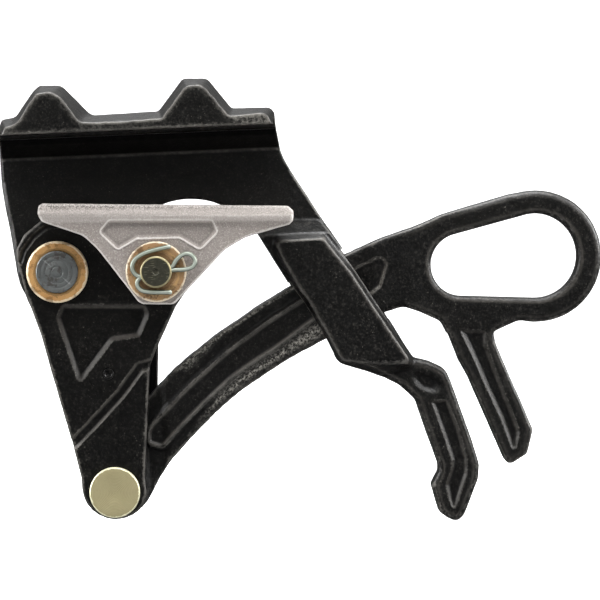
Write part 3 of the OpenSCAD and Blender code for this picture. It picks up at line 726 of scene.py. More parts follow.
def build_frame():
    vol = Vol((-30.5, -130.5, -38.5), (200.5, 93.5, 15), H_BIG)
    ahead = vol.ahead
    rough = 0.07 * vol.noise(4.2, 11) + 0.045 * vol.noise(1.4, 12)
    depth = np.abs(vol.y) - PLATE_HALF
    left = smooth((-9 - vol.x) / 9)             # broad bevel down the left edge
    solid = bevel(vol.poly(PLATE), depth, 0.8 + 1.2 * left)
    solid = join(solid, meet(vol.circle(ORIGIN, 19.3), depth, 1.4), 1.0)
    solid = meet(solid, -vol.circle(place((-32.88, -36.288)), 36.75), 1.5)
    jaw, ledge = upper_jaw(vol)
    solid = join(solid, jaw, 0.5)
    groove = np.hypot(vol.y + ROPE_Y, vol.z - (LIP_Z - ROPE_DROP)) - ROPE_R
    solid = meet(solid, -groove, 0.5)
    arm_solid, pad = arm(vol)
    solid = join(solid, arm_solid, 1.2)
    # finger lever with a thumb scoop and a sunk strip
    along, across = vol.turned(place((80.16, -87.36), 8), math.radians(-30))
    scoop = 1 - np.sqrt((along / 8.8) ** 2 + (across / 5.0) ** 2)
    strip = vol.poly(LEVER_STRIP, 8)
    front = sunk(BAR_HALF, strip, 1.5, 1.9) - 1.7 * smooth(scoop * 1.6)
    lever = vol.poly(LEVER)
    lever_solid = bevel(lever - 0.45, ahead - front, 1.4, 0.7)
    solid = join(solid, meet(lever_solid, -ahead - BAR_HALF, 1.6), 2.0)
    # the drawbar's slot, the pivot bore and the spring's pocket
    along, across = vol.turned(ARM_START, heading(ARM_START, ARM_END))
    slot = np.maximum(np.maximum(15.3 - along, along - 55.4),
                      np.maximum(np.abs(vol.y) - (BAR_HALF + 0.6), np.abs(across) - 22))
    solid = solid + rough * smooth((slot - 0.1) / 0.8)
    solid = meet(solid, -slot, 0.4)
    solid = vol.bore(solid, 12.05, 0.4)
    pocket = np.maximum(np.abs(vol.radial() - 14.65) - 1.35, 1.5 - vol.y)
    solid = meet(solid, -pocket, 0.2)
    # bare, chipped spots along the front edges of the upper jaw
    lip = vol.z - LIP_Z
    face = smooth((ahead - LEDGE_FRONT + 1.2) / 0.6)
    chip = face * (0.15 * stripe(ledge, -1.3, 1.2) + 0.22 * stripe(lip, 0.8, 0.9))
    chip = chip + face * 0.36 * smooth((vol.x - 84) / 6) * smooth((7.5 - lip) / 2)
    chip = (np.clip(chip, 0, 0.6) * smooth((lip + 0.4) / 0.4)).astype(np.float32)
    # rims of the lever, its strip and the pad painted paler: partly rubbed paint, partly a painted
    # highlight
    rub_and_highlight = stripe(strip, -0.9, 0.8) * 0.7 + stripe(lever, -2.2, 0.6) * 0.6 * smooth(strip / 0.3)
    rub_and_highlight = rub_and_highlight * smooth((place((72.48, -75.84), 8)[1] - vol.z) / 3) + \
        stripe(pad, -1.0, 0.8) * 0.45 * smooth((ahead - PAD_FRONT + 1) / 0.6) * \
        smooth((vol.z - place((57.6, -75.84), PAD_FRONT)[1]) / 2.5)
    rub_and_highlight = np.clip(rub_and_highlight, 0, 1) * smooth((ahead - 5.0) / 1.0) * smooth((40 - vol.z) / 4)
    field_piece("frame", "forging", vol, solid, "frame_body", BLACK, 0.42,
                paint={"scale": chip, "rub_and_highlight": rub_and_highlight.astype(np.float32)})


# ------------------------------------------------------------------ lower jaw
JAW_BODY = [
    (-106.08, -2.88, 0.6), (-104.64, -1.92, 0.6), (13.44, -2.88, 1), (15.84, -5.28, 1),
    (15.84, -9.84, 1), (14.16, -11.76, 1), (-7.2, -18.24, 14), (-16.8, -24, 14),
    (-40.8, -49.92, 2), (-42.72, -50.4, 2), (-56.16, -50.16, 2), (-58.56, -48.96, 2),
    (-77.76, -24, 10), (-84.96, -17.28, 10), (-100.8, -12, 8), (-104.64, -10.56, 3),
    (-106.56, -6.72, 2)]
JAW_BAR = [
    (-106.08, -2.88, 0.6), (-104.64, -1.728, 0.6), (13.44, -2.88, 1), (16.08, -5.28, 1),
    (16.08, -9.36, 1), (-106.08, -6.96, 0.6)]
JAW_RIM = [
    (-72, -9.84, 2), (-23.04, -9.84, 2), (-20.64, -15.36, 2), (-28.8, -23.52, 2),
    (-38.4, -17.76, 3), (-59.04, -18.24, 3), (-68.16, -23.52, 2), (-76.8, -15.36, 2)]


def build_jaw():
    vol = Vol((-15.5, -20.5, -35.5), (115.5, 36.5, -12.5), H_SMALL)
    ahead = vol.ahead
    rough = 0.08 * vol.noise(2.6, 21) + 0.06 * vol.noise(1.0, 22)
    back = np.clip((JAW_FRONT - ahead) / 18.0, 0, 1)
    body = vol.poly(JAW_BODY, JAW_FRONT)
    body = lerp(body, body - 0.1, back)
    rim = vol.poly(JAW_RIM, JAW_FRONT)
    front = sunk(JAW_FRONT, rim, 1.15, 1.3) + 0.35 * stripe(rim, 0.5, 0.9, reach=1)
    solid = meet(body, ahead - front, 1.0)
    # the bar along the top leans back above its lower edge
    foot = JAW_TOP_POINT[1] + (vol.x - JAW_TOP_POINT[0]) * -JAW_SLOPE
    lean = np.maximum(vol.z - foot, 0) * 0.42
    bar = vol.poly(JAW_BAR, JAW_BAR_FRONT)
    bar_solid = meet(bar, (ahead - JAW_BAR_FRONT + 0.6 + lean) * 0.93, 1.6)
    solid = join(solid, bar_solid, 5.0)
    solid = meet(solid, np.minimum(body, bar), 0.7)
    solid = meet(solid, JAW_BACK - ahead, 0.8)
    solid = solid + rough
    left, right = place((-104.64, -1.824), 34), place((13.44, -2.88), 34)
    angle = heading(left, right)
    up = -(vol.x - left[0]) * math.sin(angle) + \
        (vol.z - left[1] - ROPE_DROP) * math.cos(angle)
    solid = meet(solid, ROPE_R - np.hypot(vol.y + ROPE_Y, up), 0.6)
    solid = vol.bore(solid, JAW_BORE, 0.5, JAW_PIN)
    field_piece("lower_jaw", "casting", vol, solid, "jaw", GREY, 0.4)


# ------------------------------------------------------------------ link
LINK_FRONT = [
    (-116.64, -24, 2), (-112.8, -16.8, 3), (-104.64, -10.08, 4), (-88.8, -8.64, 8),
    (-68.16, -19.2, 10), (-51.84, -17.28, 14), (-37.44, -22.08, 12), (-32.64, -32.64, 12),
    (-35.52, -43.2, 8), (-40.8, -50.88, 6), (-46.08, -62.4, 6), (-49.44, -69.6, 4),
    (-53.28, -79.68, 2), (-54, -96, 10), (-55.68, -133.44, 0), (-54.72, -141.12, 4),
    (-56.16, -145.92, 4), (-58.08, -148.8, 4), (-61.296, -151.2, 4), (-65.28, -152.832, 4),
    (-69.36, -153.408, 4), (-73.68, -152.784, 4), (-77.424, -151.2, 4), (-80.64, -148.8, 4),
    (-82.8, -146.16, 4), (-84.48, -142.8, 4), (-85.344, -138.72, 4), (-85.584, -133.44, 4),
    (-89.376, -118.56, 8), (-96.576, -93.6, 8), (-101.376, -76.8, 8), (-104.64, -64.8, 6),
    (-112.176, -44.64, 6), (-115.584, -31.68, 4)]
LINK_REAR = [
    (-115.68, -24, 12), (-108.48, -14.4, 16), (-96, -12.48, 18), (-80.64, -19.2, 16),
    (-69.12, -36.48, 12), (-52.8, -50.88, 8), (-47.52, -60.48, 5), (-49.44, -70.08, 4),
    (-49.776, -91.68, 3), (-53.76, -99.84, 6), (-55.68, -133.44, 0), (-55.2, -139.2, 4),
    (-56.64, -144.48, 4), (-59.04, -147.6, 4), (-62.16, -150, 4), (-66, -151.584, 4),
    (-69.84, -152.064, 4), (-73.68, -151.44, 4), (-77.28, -149.76, 4), (-80.4, -147.36, 4),
    (-82.8, -144.48, 4), (-84.24, -141.12, 4), (-84.72, -133.44, 4), (-88.8, -118.56, 8),
    (-96, -93.6, 8), (-104.16, -64.8, 6), (-111.84, -48, 6), (-116.16, -36, 4)]
LINK_POCKET = [
    (-97.92, -56.64, 3), (-95.04, -49.92, 3), (-54.72, -50.16, 3), (-53.04, -55.2, 4),
    (-57.6, -65.76, 3), (-70.56, -67.68, 2), (-86.88, -89.28, 2)]
# open lines: right, up
LINK_GROOVE = [(-89.28, -116.88), (-78.24, -105.36), (-67.2, -93.36), (-57.6, -80.16),
               (-51.84, -78.72)]
UPPER_LEFT_LINE = [(-96, -12), (-102.72, -13.2), (-108.48, -17.76), (-113.28, -24.48),
                   (-114.72, -29.76)]
POCKET_TOP_LINE = [(-87.36, -48.624), (-58.56, -48)]


def build_link_front():
    vol = Vol((-22.5, -123.5, -14.6), (66.5, 28.5, -5.2), H_SMALL)
    ahead = vol.ahead
    rough = 0.06 * vol.noise(4.0, 31) + 0.04 * vol.noise(1.3, 32)
    pocket, groove = vol.poly(LINK_POCKET, LINK_OUT), vol.line(LINK_GROOVE, LINK_OUT)
    front = sunk(LINK_OUT, pocket, 1.75, 2.3)
    front = front - 1.25 * np.clip((2.7 - groove) / 1.35, 0, 1)
    # walls of the pocket and of the groove painted paler: a painted highlight, partly rubbed paint
    rub_and_highlight = stripe(pocket, -1.15, 0.9, reach=1.6) * 0.8 + stripe(groove, 2.0, 0.6, reach=1.5)
    rub_and_highlight = (rub_and_highlight * smooth((ahead - LINK_OUT + 2.6) / 0.4)).astype(np.float32)
    front = front - 0.75 * smooth(1.3 - vol.line(UPPER_LEFT_LINE, LINK_OUT) / 1.1)
    front = front - 0.22 * smooth(1.3 - vol.line(POCKET_TOP_LINE, LINK_OUT) / 0.8)
    solid = bevel(vol.poly(LINK_FRONT, LINK_OUT) - 0.35, ahead - front, 0.9, 0.5)
    solid = meet(solid, LINK_IN - ahead, 0.8)
    solid = solid + rough * smooth((ahead - LINK_IN) / 2.0)
    solid = vol.bore(solid, PIVOT_BORE, 0.4)
    solid = vol.bore(solid, JAW_BORE, 0.4, JAW_PIN)
    # room behind the plate for the jaw pin's flange
    flange = np.maximum(vol.radial(JAW_PIN) - 9.6, ahead - LINK_IN - 2.4)
    solid = meet(solid, -flange, 0.2)
    solid = vol.bore(solid, BAR_BORE, 0.4, BAR_PIN)
    solid = vol.bore(solid, RIVET_BORE, 0, RIVET)
    field_piece("link_front", "plate", vol, solid, "link", LINK_BLACK_SHADED, 0.4,
                calm=(RIVET, 3.3), paint={"rub_and_highlight": rub_and_highlight})


def build_link_rear():
    vol = Vol((-22.5, -123.5, 5.2), (51.5, 24.5, 14.6), H_SMALL)
    rough = 0.06 * vol.noise(4.0, 41) + 0.04 * vol.noise(1.3, 42)
    solid = meet(vol.poly(LINK_REAR) - 0.3, vol.y - LINK_OUT, 1.25)
    solid = meet(solid, LINK_IN - vol.y, 0.8)
    solid = solid + rough * smooth((vol.y - LINK_IN) / 2.0)
    solid = vol.bore(solid, PIVOT_BORE, 0.4)
    solid = vol.bore(solid, BAR_BORE, 0.4, BAR_PIN)
    solid = vol.bore(solid, RIVET_BORE, 0.3, RIVET)
    solid = vol.bore(solid, 1.1, 0.2, SPRING_LEG)
    field_piece("link_rear", "plate", vol, solid, "link", LINK_BLACK_SHADED, 0.3)


# ------------------------------------------------------------------ drawbar: right, up, radius
BAR = [
    (-48.96, -89.52, 0), (-38.4, -78.72, 60), (-28.8, -71.04, 60), (-19.2, -63.36, 60),
    (-9.6, -57.12, 60), (0, -50.4, 60), (14.4, -41.76, 60), (27.84, -33.6, 60),
    (40.8, -26.4, 60), (48, -23.04, 60), (57.6, -18.72, 60), (67.2, -15.36, 60),
    (76.8, -12.24, 60), (86.4, -7.44, 20), (104.64, -1.92, 60), (120.96, 2.784, 20),
    (129.6, 3.744, 60), (132, -26.88, 0), (132.48, -57.36, 0), (123.36, -57.36, 6),
    (114.24, -61.44, 6), (108, -65.28, 0), (89.76, -63.36, 0), (86.88, -57.84, 6),
    (76.8, -53.28, 10), (68.64, -50.4, 8), (59.52, -53.28, 8), (45.6, -59.04, 60),
    (31.2, -66.24, 60), (19.2, -72.48, 60), (9.6, -78.24, 60), (0, -84.48, 60),
    (-9.6, -91.2, 60), (-19.2, -99.36, 60), (-28.8, -108.96, 60), (-38.4, -119.04, 60),
    (-46.56, -129.12, 0)]
BAR_END = [
    (-39.36, -79.68, 0), (-48, -88.56, 0), (-62.4, -104.64, 8), (-76.8, -122.4, 8),
    (-84, -133.44, 6), (-70.08, -140.64, 0), (-60.96, -149.28, 3), (-57.12, -147.36, 4),
    (-54, -144, 4), (-51.6, -139.2, 4), (-49.2, -134.4, 4), (-43.2, -124.8, 0),
    (-34.56, -115.2, 0)]
BAR_LEVER = [
    (89.28, -58.56, 0), (89.76, -61.92, 2), (95.664, -76.8, 6), (100.464, -85.44, 8),
    (105.744, -97.44, 6), (117.264, -123.6, 2), (118.848, -125.76, 1), (120.96, -125.76, 1),
    (127.824, -121.248, 2), (129.264, -115.2, 4), (130.32, -109.92, 4), (125.424, -98.4, 6),
    (115.824, -76.8, 10), (112.464, -68.64, 8), (111.168, -61.92, 4), (115.2, -58.56, 0)]
BAR_PANEL = [
    (-53.28, -116.64, 2), (-53.28, -110.4, 60), (-33.6, -89.76, 60), (-14.4, -72.48, 60),
    (4.8, -58.56, 60), (19.2, -49.44, 60), (33.6, -41.28, 2), (38.4, -48, 2),
    (25.92, -56.64, 60), (9.6, -69.12, 60), (-9.6, -81.6, 60), (-19.2, -89.76, 60),
    (-33.6, -103.68, 60), (-47.04, -118.32, 2)]
BAR_HOLLOW = [
    (38.4, -36.48, 1), (44.88, -32.88, 0.6), (55.68, -27.264, 0.8), (59.04, -27.264, 0.8),
    (61.44, -30.48, 0.6), (58.08, -41.76, 0.6), (53.76, -45.12, 0.8), (43.2, -51.36, 1)]
LEVER_POCKET = [
    (95.52, -61.92, 1), (101.28, -73.44, 3), (108.48, -89.76, 3), (115.68, -105.12, 2),
    (121.44, -120.48, 1), (123.84, -119.04, 1), (125.28, -111.36, 1), (122.88, -105.12, 2),
    (113.76, -82.08, 3), (109.44, -70.08, 3), (108.96, -62.4, 1)]
# regions of forging scale on the lower flange and along the upper edge; the upper one also bounds
# a painted highlight on the top edge
SCALE_LOW = [
    (-26.4, -129.6, 0), (-30.72, -109.44, 0), (-19.2, -91.68, 0), (-9.6, -83.52, 0),
    (9.6, -71.04, 0), (25.92, -58.56, 0), (40.8, -48, 0), (48, -62.4, 0), (19.2, -96, 0)]
SCALE_TOP = [
    (-35.52, -82.56, 0), (-39.36, -72.96, 0), (-9.6, -48, 0), (19.2, -29.76, 0),
    (23.52, -36.48, 0), (0.96, -49.92, 0), (-18.24, -64.32, 0)]
EYE_RIM = place((132, -26.88))
EYE_SMALL, EYE_SMALL_R = place((96.768, -30.96)), 15.024
EYE_LARGE, EYE_LARGE_R = place((131.904, -26.688)), 20.208


def eye_hole(vol):
    """Two round ends joined by their tangents."""
    span = EYE_LARGE - EYE_SMALL
    length = float(np.linalg.norm(span))
    unit = span / length
    dx, dz = vol.flat_x - EYE_SMALL[0], vol.flat_z - EYE_SMALL[1]
    along = dx * unit[0] + dz * unit[1]
    aside = np.abs(-dx * unit[1] + dz * unit[0])
    sine = (EYE_LARGE_R - EYE_SMALL_R) / length
    cosine = math.sqrt(1 - sine * sine)
    t = np.clip((along * cosine + aside * sine) / (length * cosine), 0, 1)
    radius = EYE_SMALL_R + (EYE_LARGE_R - EYE_SMALL_R) * t
    return (np.hypot(along - t * length, aside) - radius).astype(np.float32)[:, :, None]


def build_drawbar():
    vol = Vol((-2.5, -127.5, -9.2), (260.5, 31.5, 9.2), H_BIG)
    depth = np.abs(vol.y)
    rough = 0.08 * vol.noise(4.0, 51) + 0.05 * vol.noise(1.4, 52)
    panel = vol.poly(BAR_PANEL, 8)
    hollow = vol.poly(BAR_HOLLOW, 8)
    pocket = vol.poly(LEVER_POCKET, 7)
    # thin where the link plates embrace it, full along the bar, a little less at the eye and lever
    start, end = place(BAR[0]), place(BAR[-1])
    edge = (end - start) / np.linalg.norm(end - start)
    out = -((vol.x - start[0]) * edge[1] - (vol.z - start[1]) * edge[0])
    full = PLATE_HALF + (BAR_HALF - PLATE_HALF) * smooth(out / 5.0) \
        - (BAR_HALF - EYE_HALF) * smooth((vol.x - 166) / 14)
    # the web and the flange lie lower than the panel's raised borders
    along = smooth((out + 10.0) / 5.0) * smooth((151 - vol.x) / 8)
    half = full - 1.8 * smooth((panel - 0.7) / 2.3) * along
    half = sunk(half, panel, 1.1 * along, 0.9)
    half = sunk(half, hollow, 1.5, 1.3)
    half = sunk(half, pocket, 1.9, 2.2)
    outline = np.minimum(vol.poly(BAR), vol.poly(BAR_END))
    outline = np.minimum(outline, vol.circle(BAR_PIN, 13.6))
    outline = np.minimum(outline, vol.circle(EYE_RIM, 31.05))
    outline = join(outline, vol.poly(BAR_LEVER), 1.0) - 0.4
    chamfer = 1.0 + 0.9 * smooth((vol.x - 186) / 16) * smooth((vol.z + 34) / 8)
    flange = smooth((panel - 2.8) / 1.0) * along
    rough = rough + flange * 0.13 * vol.noise(1.3, 53)
    solid = bevel(outline, depth - half, chamfer, 1.1)
    solid = solid + rough
    eye = eye_hole(vol)
    solid = bevel(solid, -eye, 1.5, 0.9)
    solid = vol.bore(solid, 10.05, 0.4, BAR_PIN)
    solid = meet(solid, np.where(out < 0, depth - PLATE_HALF, -9).astype(np.float32), 0)
    # forging scale, and a pale line along the top edge that is partly worn paint, partly a painted
    # highlight
    low, top = vol.poly(SCALE_LOW, 8), vol.poly(SCALE_TOP, 8)
    near_low = smooth(0.5 - low / 4)
    scale = 0.85 * near_low * smooth((panel - 1.4) / 1.0) \
        * (0.25 + 0.75 * smooth((-outline - 2.0) / 2.2)) \
        + 0.3 * stripe(panel, 1.5, 0.6) * near_low \
        + 0.5 * smooth(0.5 - top / 4) * smooth((panel - 4.2) / 1.5)
    scale = scale * smooth((depth - 4.5) / 1.0) * smooth((-outline - 0.9) / 0.8) \
        + 0.42 * stripe(hollow, -0.75, 0.55, reach=1.4) * smooth((depth - 4.0) / 1.0)
    # pale line along the top edge: painted highlight with worn paint
    scale = scale + 0.75 * stripe(outline, -1.5, 0.6, reach=1.4) \
        * smooth(0.5 - (top - 4) / 3) * smooth((depth - 3.5) / 1.0)
    # rims of the eye, the outline, the panel, the hollow and the pocket painted paler: partly
    # rubbed paint, partly a painted highlight
    rub_and_highlight = smooth((vol.x - 162) / 6) * (stripe(eye, 2.0, 0.75, reach=1.4) * 0.7
                                       + stripe(outline, -2.3, 0.7, reach=1.35) * 0.35)
    rub_and_highlight = rub_and_highlight + stripe(panel, -0.5, 0.6, reach=1.4) * 0.8 * along \
        + stripe(hollow, -0.8, 0.7, reach=1.4)
    rub_and_highlight = rub_and_highlight + stripe(pocket, -1.1, 0.9) * 0.7
    rub_and_highlight = np.clip(rub_and_highlight, 0, 1) * smooth((depth - 4.0) / 1.0)
    field_piece("drawbar", "forging", vol, solid, "bar", BLACK, 0.42,
                paint={"scale": scale.astype(np.float32), "rub_and_highlight": rub_and_highlight.astype(np.float32)})


build_frame()
build_jaw()
build_link_front()
build_link_rear()
build_drawbar()

# ------------------------------------------------------------------ pins, washers, bushings
STEEL = (plated("pivot_pin_steel", low=(90, 94, 95), high=(132, 135, 133), stain=(94, 84, 76),
                metallic=0.7, rough=(0.3, 0.5), mottle=0.7), "turned_steel")
# pale outer band: painted highlight on the washers' rims; dark inner band: painted shade next to
# the pin
GOLD = (plated("gold_zinc", low=(190, 138, 82), high=(216, 172, 114), stain=(140, 96, 54),
               metallic=0.6, rough=(0.28, 0.44),
               bands=((9.9, 11.5, (112, 72, 40), 0.6), (13.4, 15.2, (242, 228, 198), 0.85))),
        "gold_zinc")
DARK = (jaw_pin_finish(), "dark_steel")
# pale outer band: painted highlight on the washer's rim; dark band next to the bore: painted shade
# next to the pin
BROWN = (plated("brown_zinc", low=(146, 106, 72), high=(188, 156, 114), stain=(92, 66, 46),
                metallic=0.55, rough=(0.3, 0.48), mottle=0.6, centre=JAW_PIN,
                bands=((7.3, 9.4, (88, 58, 34), 0.65), (9.9, 11.4, (206, 168, 110), 0.6),
                       (13.2, 14.8, (226, 214, 190), 0.85))), "brown_zinc")
# pale band at the rim of the pin's disc head: painted highlight
PALE = (plated("pale_zinc", low=(138, 130, 96), high=(158, 150, 116), stain=(168, 146, 122),
               metallic=0.45, rough=(0.36, 0.52), mottle=0.08, centre=BAR_PIN,
               bands=((11.2, 12.6, (222, 220, 188), 0.8),)), "pale_zinc")
# painted shade on the cotter's sides, the faces that look away from the y axis
BRIGHT = (plated("bright_zinc", low=(140, 150, 138), high=(188, 194, 184),
                 stain=(150, 158, 142), metallic=0.6, rough=(0.3, 0.4), mottle=0.0,
                 rings=False, painted_flank_shade=(52, 60, 44)), "bright_zinc")
BRONZE = (plated("bronze_bushing", low=(150, 104, 58), high=(186, 138, 86), stain=(96, 62, 34),
                 metallic=0.85, rough=(0.3, 0.45)), "bronze")
SPRING = (plated("spring_steel_blued", low=(70, 72, 78), high=(104, 106, 112),
                 stain=(40, 38, 38), metallic=0.85, rough=(0.25, 0.4), rings=False),
          "spring_steel")


def arc(x, y, radius, start, end, count=4):
    angles = [math.radians(start + (end - start) * k / count) for k in range(count + 1)]
    return [(x + radius * math.cos(a), y + radius * math.sin(a)) for a in angles]


def turned(node, profile, centre, finish, body="link", count=112):
    """Piece turned about y from (radius, y) points: a ring, or a solid between two poles."""
    verts, rings, faces = [], [], []
    for radius, y in profile:
        start = len(verts)
        if radius < 1e-6:
            verts.append((centre[0], y, centre[1]))
        else:
            for k in range(count):
                a = 2 * math.pi * k / count
                verts.append((centre[0] + radius * math.cos(a), y,
                              centre[1] + radius * math.sin(a)))
        rings.append(range(start, len(verts)))
    if len(rings[0]) > 1:
        rings.append(rings[0])
    for one, two in zip(rings, rings[1:]):
        for k in range(count):
            k2 = (k + 1) % count
            if len(one) == 1:
                faces.append((one[0], two[k], two[k2]))
            elif len(two) == 1:
                faces.append((one[k], two[0], one[k2]))
            else:
                faces.append((one[k], two[k], two[k2], one[k2]))
    mesh_piece(node, "turned", verts, faces, body, finish)


def ring_profile(outer, inner, front, rear, edge):
    """Section of a washer between depths ahead of mid depth; edge rounds its outer corners."""
    y0, y1, bore_edge = -front, -rear, 0.25
    return arc(outer - edge, y0 + edge, edge, -90, 0) + \
        arc(outer - edge, y1 - edge, edge, 0, 90) + \
        [(inner + bore_edge, y1), (inner, y1 - bore_edge),
         (inner, y0 + bore_edge), (inner + bore_edge, y0)]


def pivot_pin_profile():
    """Pin with shallow rings turned in its front end and a head at the rear."""
    radius, edge, head_r = 10.0, 0.7, 13.0
    front, head_front, head_rear = -(LINK_OUT + 5.4), LINK_OUT + 2.1, LINK_OUT + 5.2
    points = [(0, front + 0.02)]
    # radius, half width, depth of each ring
    for r, half, depth in ((2.6, 0.5, 0.2), (5.4, 0.35, 0.1), (7.6, 0.3, 0.1)):
        points += [(r - half, front), (r - half * 0.4, front + depth),
                   (r + half * 0.4, front + depth), (r + half, front)]
    points += [(radius - edge - 0.15, front)] + arc(radius - edge, front + edge, edge, -80, 0)
    points += [(radius, head_front), (head_r - 0.5, head_front)]
    points += arc(head_r - 0.5, head_front + 0.5, 0.5, -60, 0, 3)
    return points + arc(head_r - 1.0, head_rear - 1.0, 1.0, 0, 80) + [(0, head_rear)]


turned("pivot_pin", pivot_pin_profile(), ORIGIN, STEEL)
# node, outer radius, bore, front and rear ahead of mid depth, edge radius, centre, body, finish
for node, outer, inner, front, rear, edge, centre, body, finish in (
        ("pivot_washer", 14.65, PIVOT_BORE, LINK_OUT + 4, LINK_OUT + 0.05, 1.25,
         ORIGIN, "link", GOLD),
        ("pivot_rear_washer", 14.65, PIVOT_BORE, -LINK_OUT - 0.05, -LINK_OUT - 2.05, 0.4,
         ORIGIN, "link", GOLD),
        ("pivot_bushing", 12.0, PIVOT_BORE, PLATE_HALF, -PLATE_HALF, 0.4,
         ORIGIN, "frame_body", BRONZE),
        ("jaw_washer", 14.2, JAW_BORE, JAW_FRONT + 1.95, JAW_FRONT + 0.05, 0.55,
         JAW_PIN, "link", BROWN),
        ("drawbar_rear_washer", 13.0, BAR_BORE, -LINK_OUT - 0.05, -LINK_OUT - 2.05, 0.4,
         BAR_PIN, "link", PALE),
        ("drawbar_bushing", 10.0, BAR_BORE, PLATE_HALF, -PLATE_HALF, 0.35,
         BAR_PIN, "bar", BRONZE),
        ("link_spacer", 4.5, RIVET_BORE, LINK_IN - 0.05, -LINK_IN + 0.05, 0.3,
         RIVET, "link", STEEL)):
    turned(node, ring_profile(outer, inner, front, rear, edge), centre, finish, body)

rivet = [(0, -LINK_OUT + 1.3), (0.7, -LINK_OUT + 1.15), (1.25, -LINK_OUT + 0.7),
         (1.6, -LINK_OUT + 0.15), (1.8, -LINK_OUT), (2.4, -LINK_OUT), (2.45, -LINK_OUT + 0.05),
         (2.45, LINK_OUT - 0.4), (2.1, LINK_OUT), (0, LINK_OUT)]
turned("link_rivet", rivet, RIVET, BLACK, count=48)

# the pale disc head and the shank of the drawbar pin
face, seat = -(LINK_OUT + 3.3), -(LINK_OUT + 0.1)
disc = [(0, face + 0.25), (3.4, face + 0.22), (4.2, face + 0.02), (9.8, face)] + \
    arc(12.0 - 0.8, face + 0.8, 0.8, -85, 0, 5) + arc(12.0 - 0.4, seat - 0.4, 0.4, 0, 90, 3) + \
    [(8.0, seat), (8.0, LINK_OUT + 2.1), (9.6, LINK_OUT + 2.15)] + \
    arc(10 - 0.5, LINK_OUT + 4.2 - 0.5, 0.5, 0, 80, 3) + [(0, LINK_OUT + 4.2)]
turned("drawbar_pin", disc, BAR_PIN, PALE)

# ------------------------------------------------------------------ jaw pin
COTTER_FRONT = JAW_FRONT + 3.3
COTTER_RIGHT, COTTER_LEFT = place((-42.24, -32.16), 36), place((-58.224, -37.248), 36)


def build_jaw_pin():
    """Pin with an inner flange behind the link plate, a centre dimple and a cross hole."""
    x, z = JAW_PIN
    vol = Vol((x - 10.2, z - 10.2, -39.0), (x + 10.2, z + 10.2, -5.8), 0.3)
    ahead = vol.ahead
    radius = vol.radial(JAW_PIN)
    solid = meet(meet(radius - 7.4, ahead - (JAW_FRONT + 6.4), 0.9), LINK_IN + 1 - ahead, 0.3)
    flange = meet(meet(radius - 9.5, ahead - (LINK_IN + 2.3), 0.2), LINK_IN + 0.1 - ahead, 0.2)
    solid = np.minimum(solid, flange)
    solid = np.maximum(solid, -np.maximum(radius - 1.3, JAW_FRONT + 6.0 - ahead))
    across = vol.turned(COTTER_RIGHT, heading(COTTER_LEFT, COTTER_RIGHT))[1]
    solid = meet(solid, 1.3 - np.hypot(across, ahead - COTTER_FRONT), 0.15)
    field_piece("jaw_pin", "turned", vol, solid, "link", DARK, 0.35)


build_jaw_pin()


# ------------------------------------------------------------------ wires
def spline(points):
    """Smooth run through points, six steps to each span."""
    points = np.array(points, float)
    out, last = [], len(points) - 1
    for i in range(last):
        a, b, c, d = points[max(i - 1, 0)], points[i], points[i + 1], points[min(i + 2, last)]
        for j in range(6):
            t = j / 6
            out.append(0.5 * (2 * b + (c - a) * t + (2 * a - 5 * b + 4 * c - d) * t**2
                              + (3 * b - a - 3 * c + d) * t**3))
    out.append(points[-1])
    return np.array(out)


def tube(path, radius, sides=18):
    """Round wire along a path of (x, y, z) points, with domed tips."""
    path = np.array(path, float)
    along = np.gradient(path, axis=0)
    along /= np.linalg.norm(along, axis=1, keepdims=True)
    side = np.array([0.0, 1.0, 0.0])
    if abs(along[0] @ side) > 0.9:
        side = np.array([1.0, 0.0, 0.0])
    frames = []
    for tangent in along:
        side = side - tangent * (side @ tangent)
        side /= np.linalg.norm(side)
        frames.append((side, np.cross(tangent, side)))
    dome = [(math.sin(math.radians(a)), math.cos(math.radians(a))) for a in (28, 55, 80)]
    rings = [(path[0] - along[0] * radius * 0.8 * s, frames[0], radius * c)
             for s, c in reversed(dome)]
    rings += [(spot, frame, radius) for spot, frame in zip(path, frames)]
    rings += [(path[-1] + along[-1] * radius * 0.8 * s, frames[-1], radius * c)
              for s, c in dome]
    verts, faces = [], []
    for centre, (u, w), size in rings:
        for k in range(sides):
            a = 2 * math.pi * k / sides
            verts.append(tuple(centre + size * (math.cos(a) * u + math.sin(a) * w)))
    end = len(verts) - sides
    for a in range(0, end, sides):
        b = a + sides
        for k in range(sides):
            k2 = (k + 1) % sides
            faces.append((a + k, b + k, b + k2, a + k2))
    faces.append(tuple(range(sides)))
    faces.append(tuple(end + k for k in range(sides - 1, -1, -1)))
    return verts, faces


# runs of the cotter wire: right, up
COTTER_HEAD = [
    (-48.96, -34.224), (-45.12, -33.024), (-42.048, -31.776), (-40.32, -29.088),
    (-38.112, -26.88), (-35.616, -25.824), (-33.216, -26.304), (-31.488, -28.128),
    (-31.248, -30.336), (-32.832, -32.352), (-36.48, -33.408), (-41.76, -33.696),
    (-45.6, -34.368)]
COTTER_SHANK = [
    (-43.2, -32.448), (-50.4, -34.752), (-56.928, -36.672), (-59.328, -36.096),
    (-60.96, -34.08), (-61.296, -31.488), (-60.288, -28.992), (-58.08, -26.976),
    (-54.72, -25.296), (-50.88, -24.096), (-43.632, -22.368)]
COTTER_LEG = [
    (-51.84, -35.232), (-56.832, -37.248), (-58.416, -38.496), (-58.944, -40.32),
    (-58.272, -42.144), (-56.448, -43.584), (-53.28, -44.208), (-48.96, -44.352),
    (-43.008, -44.352)]


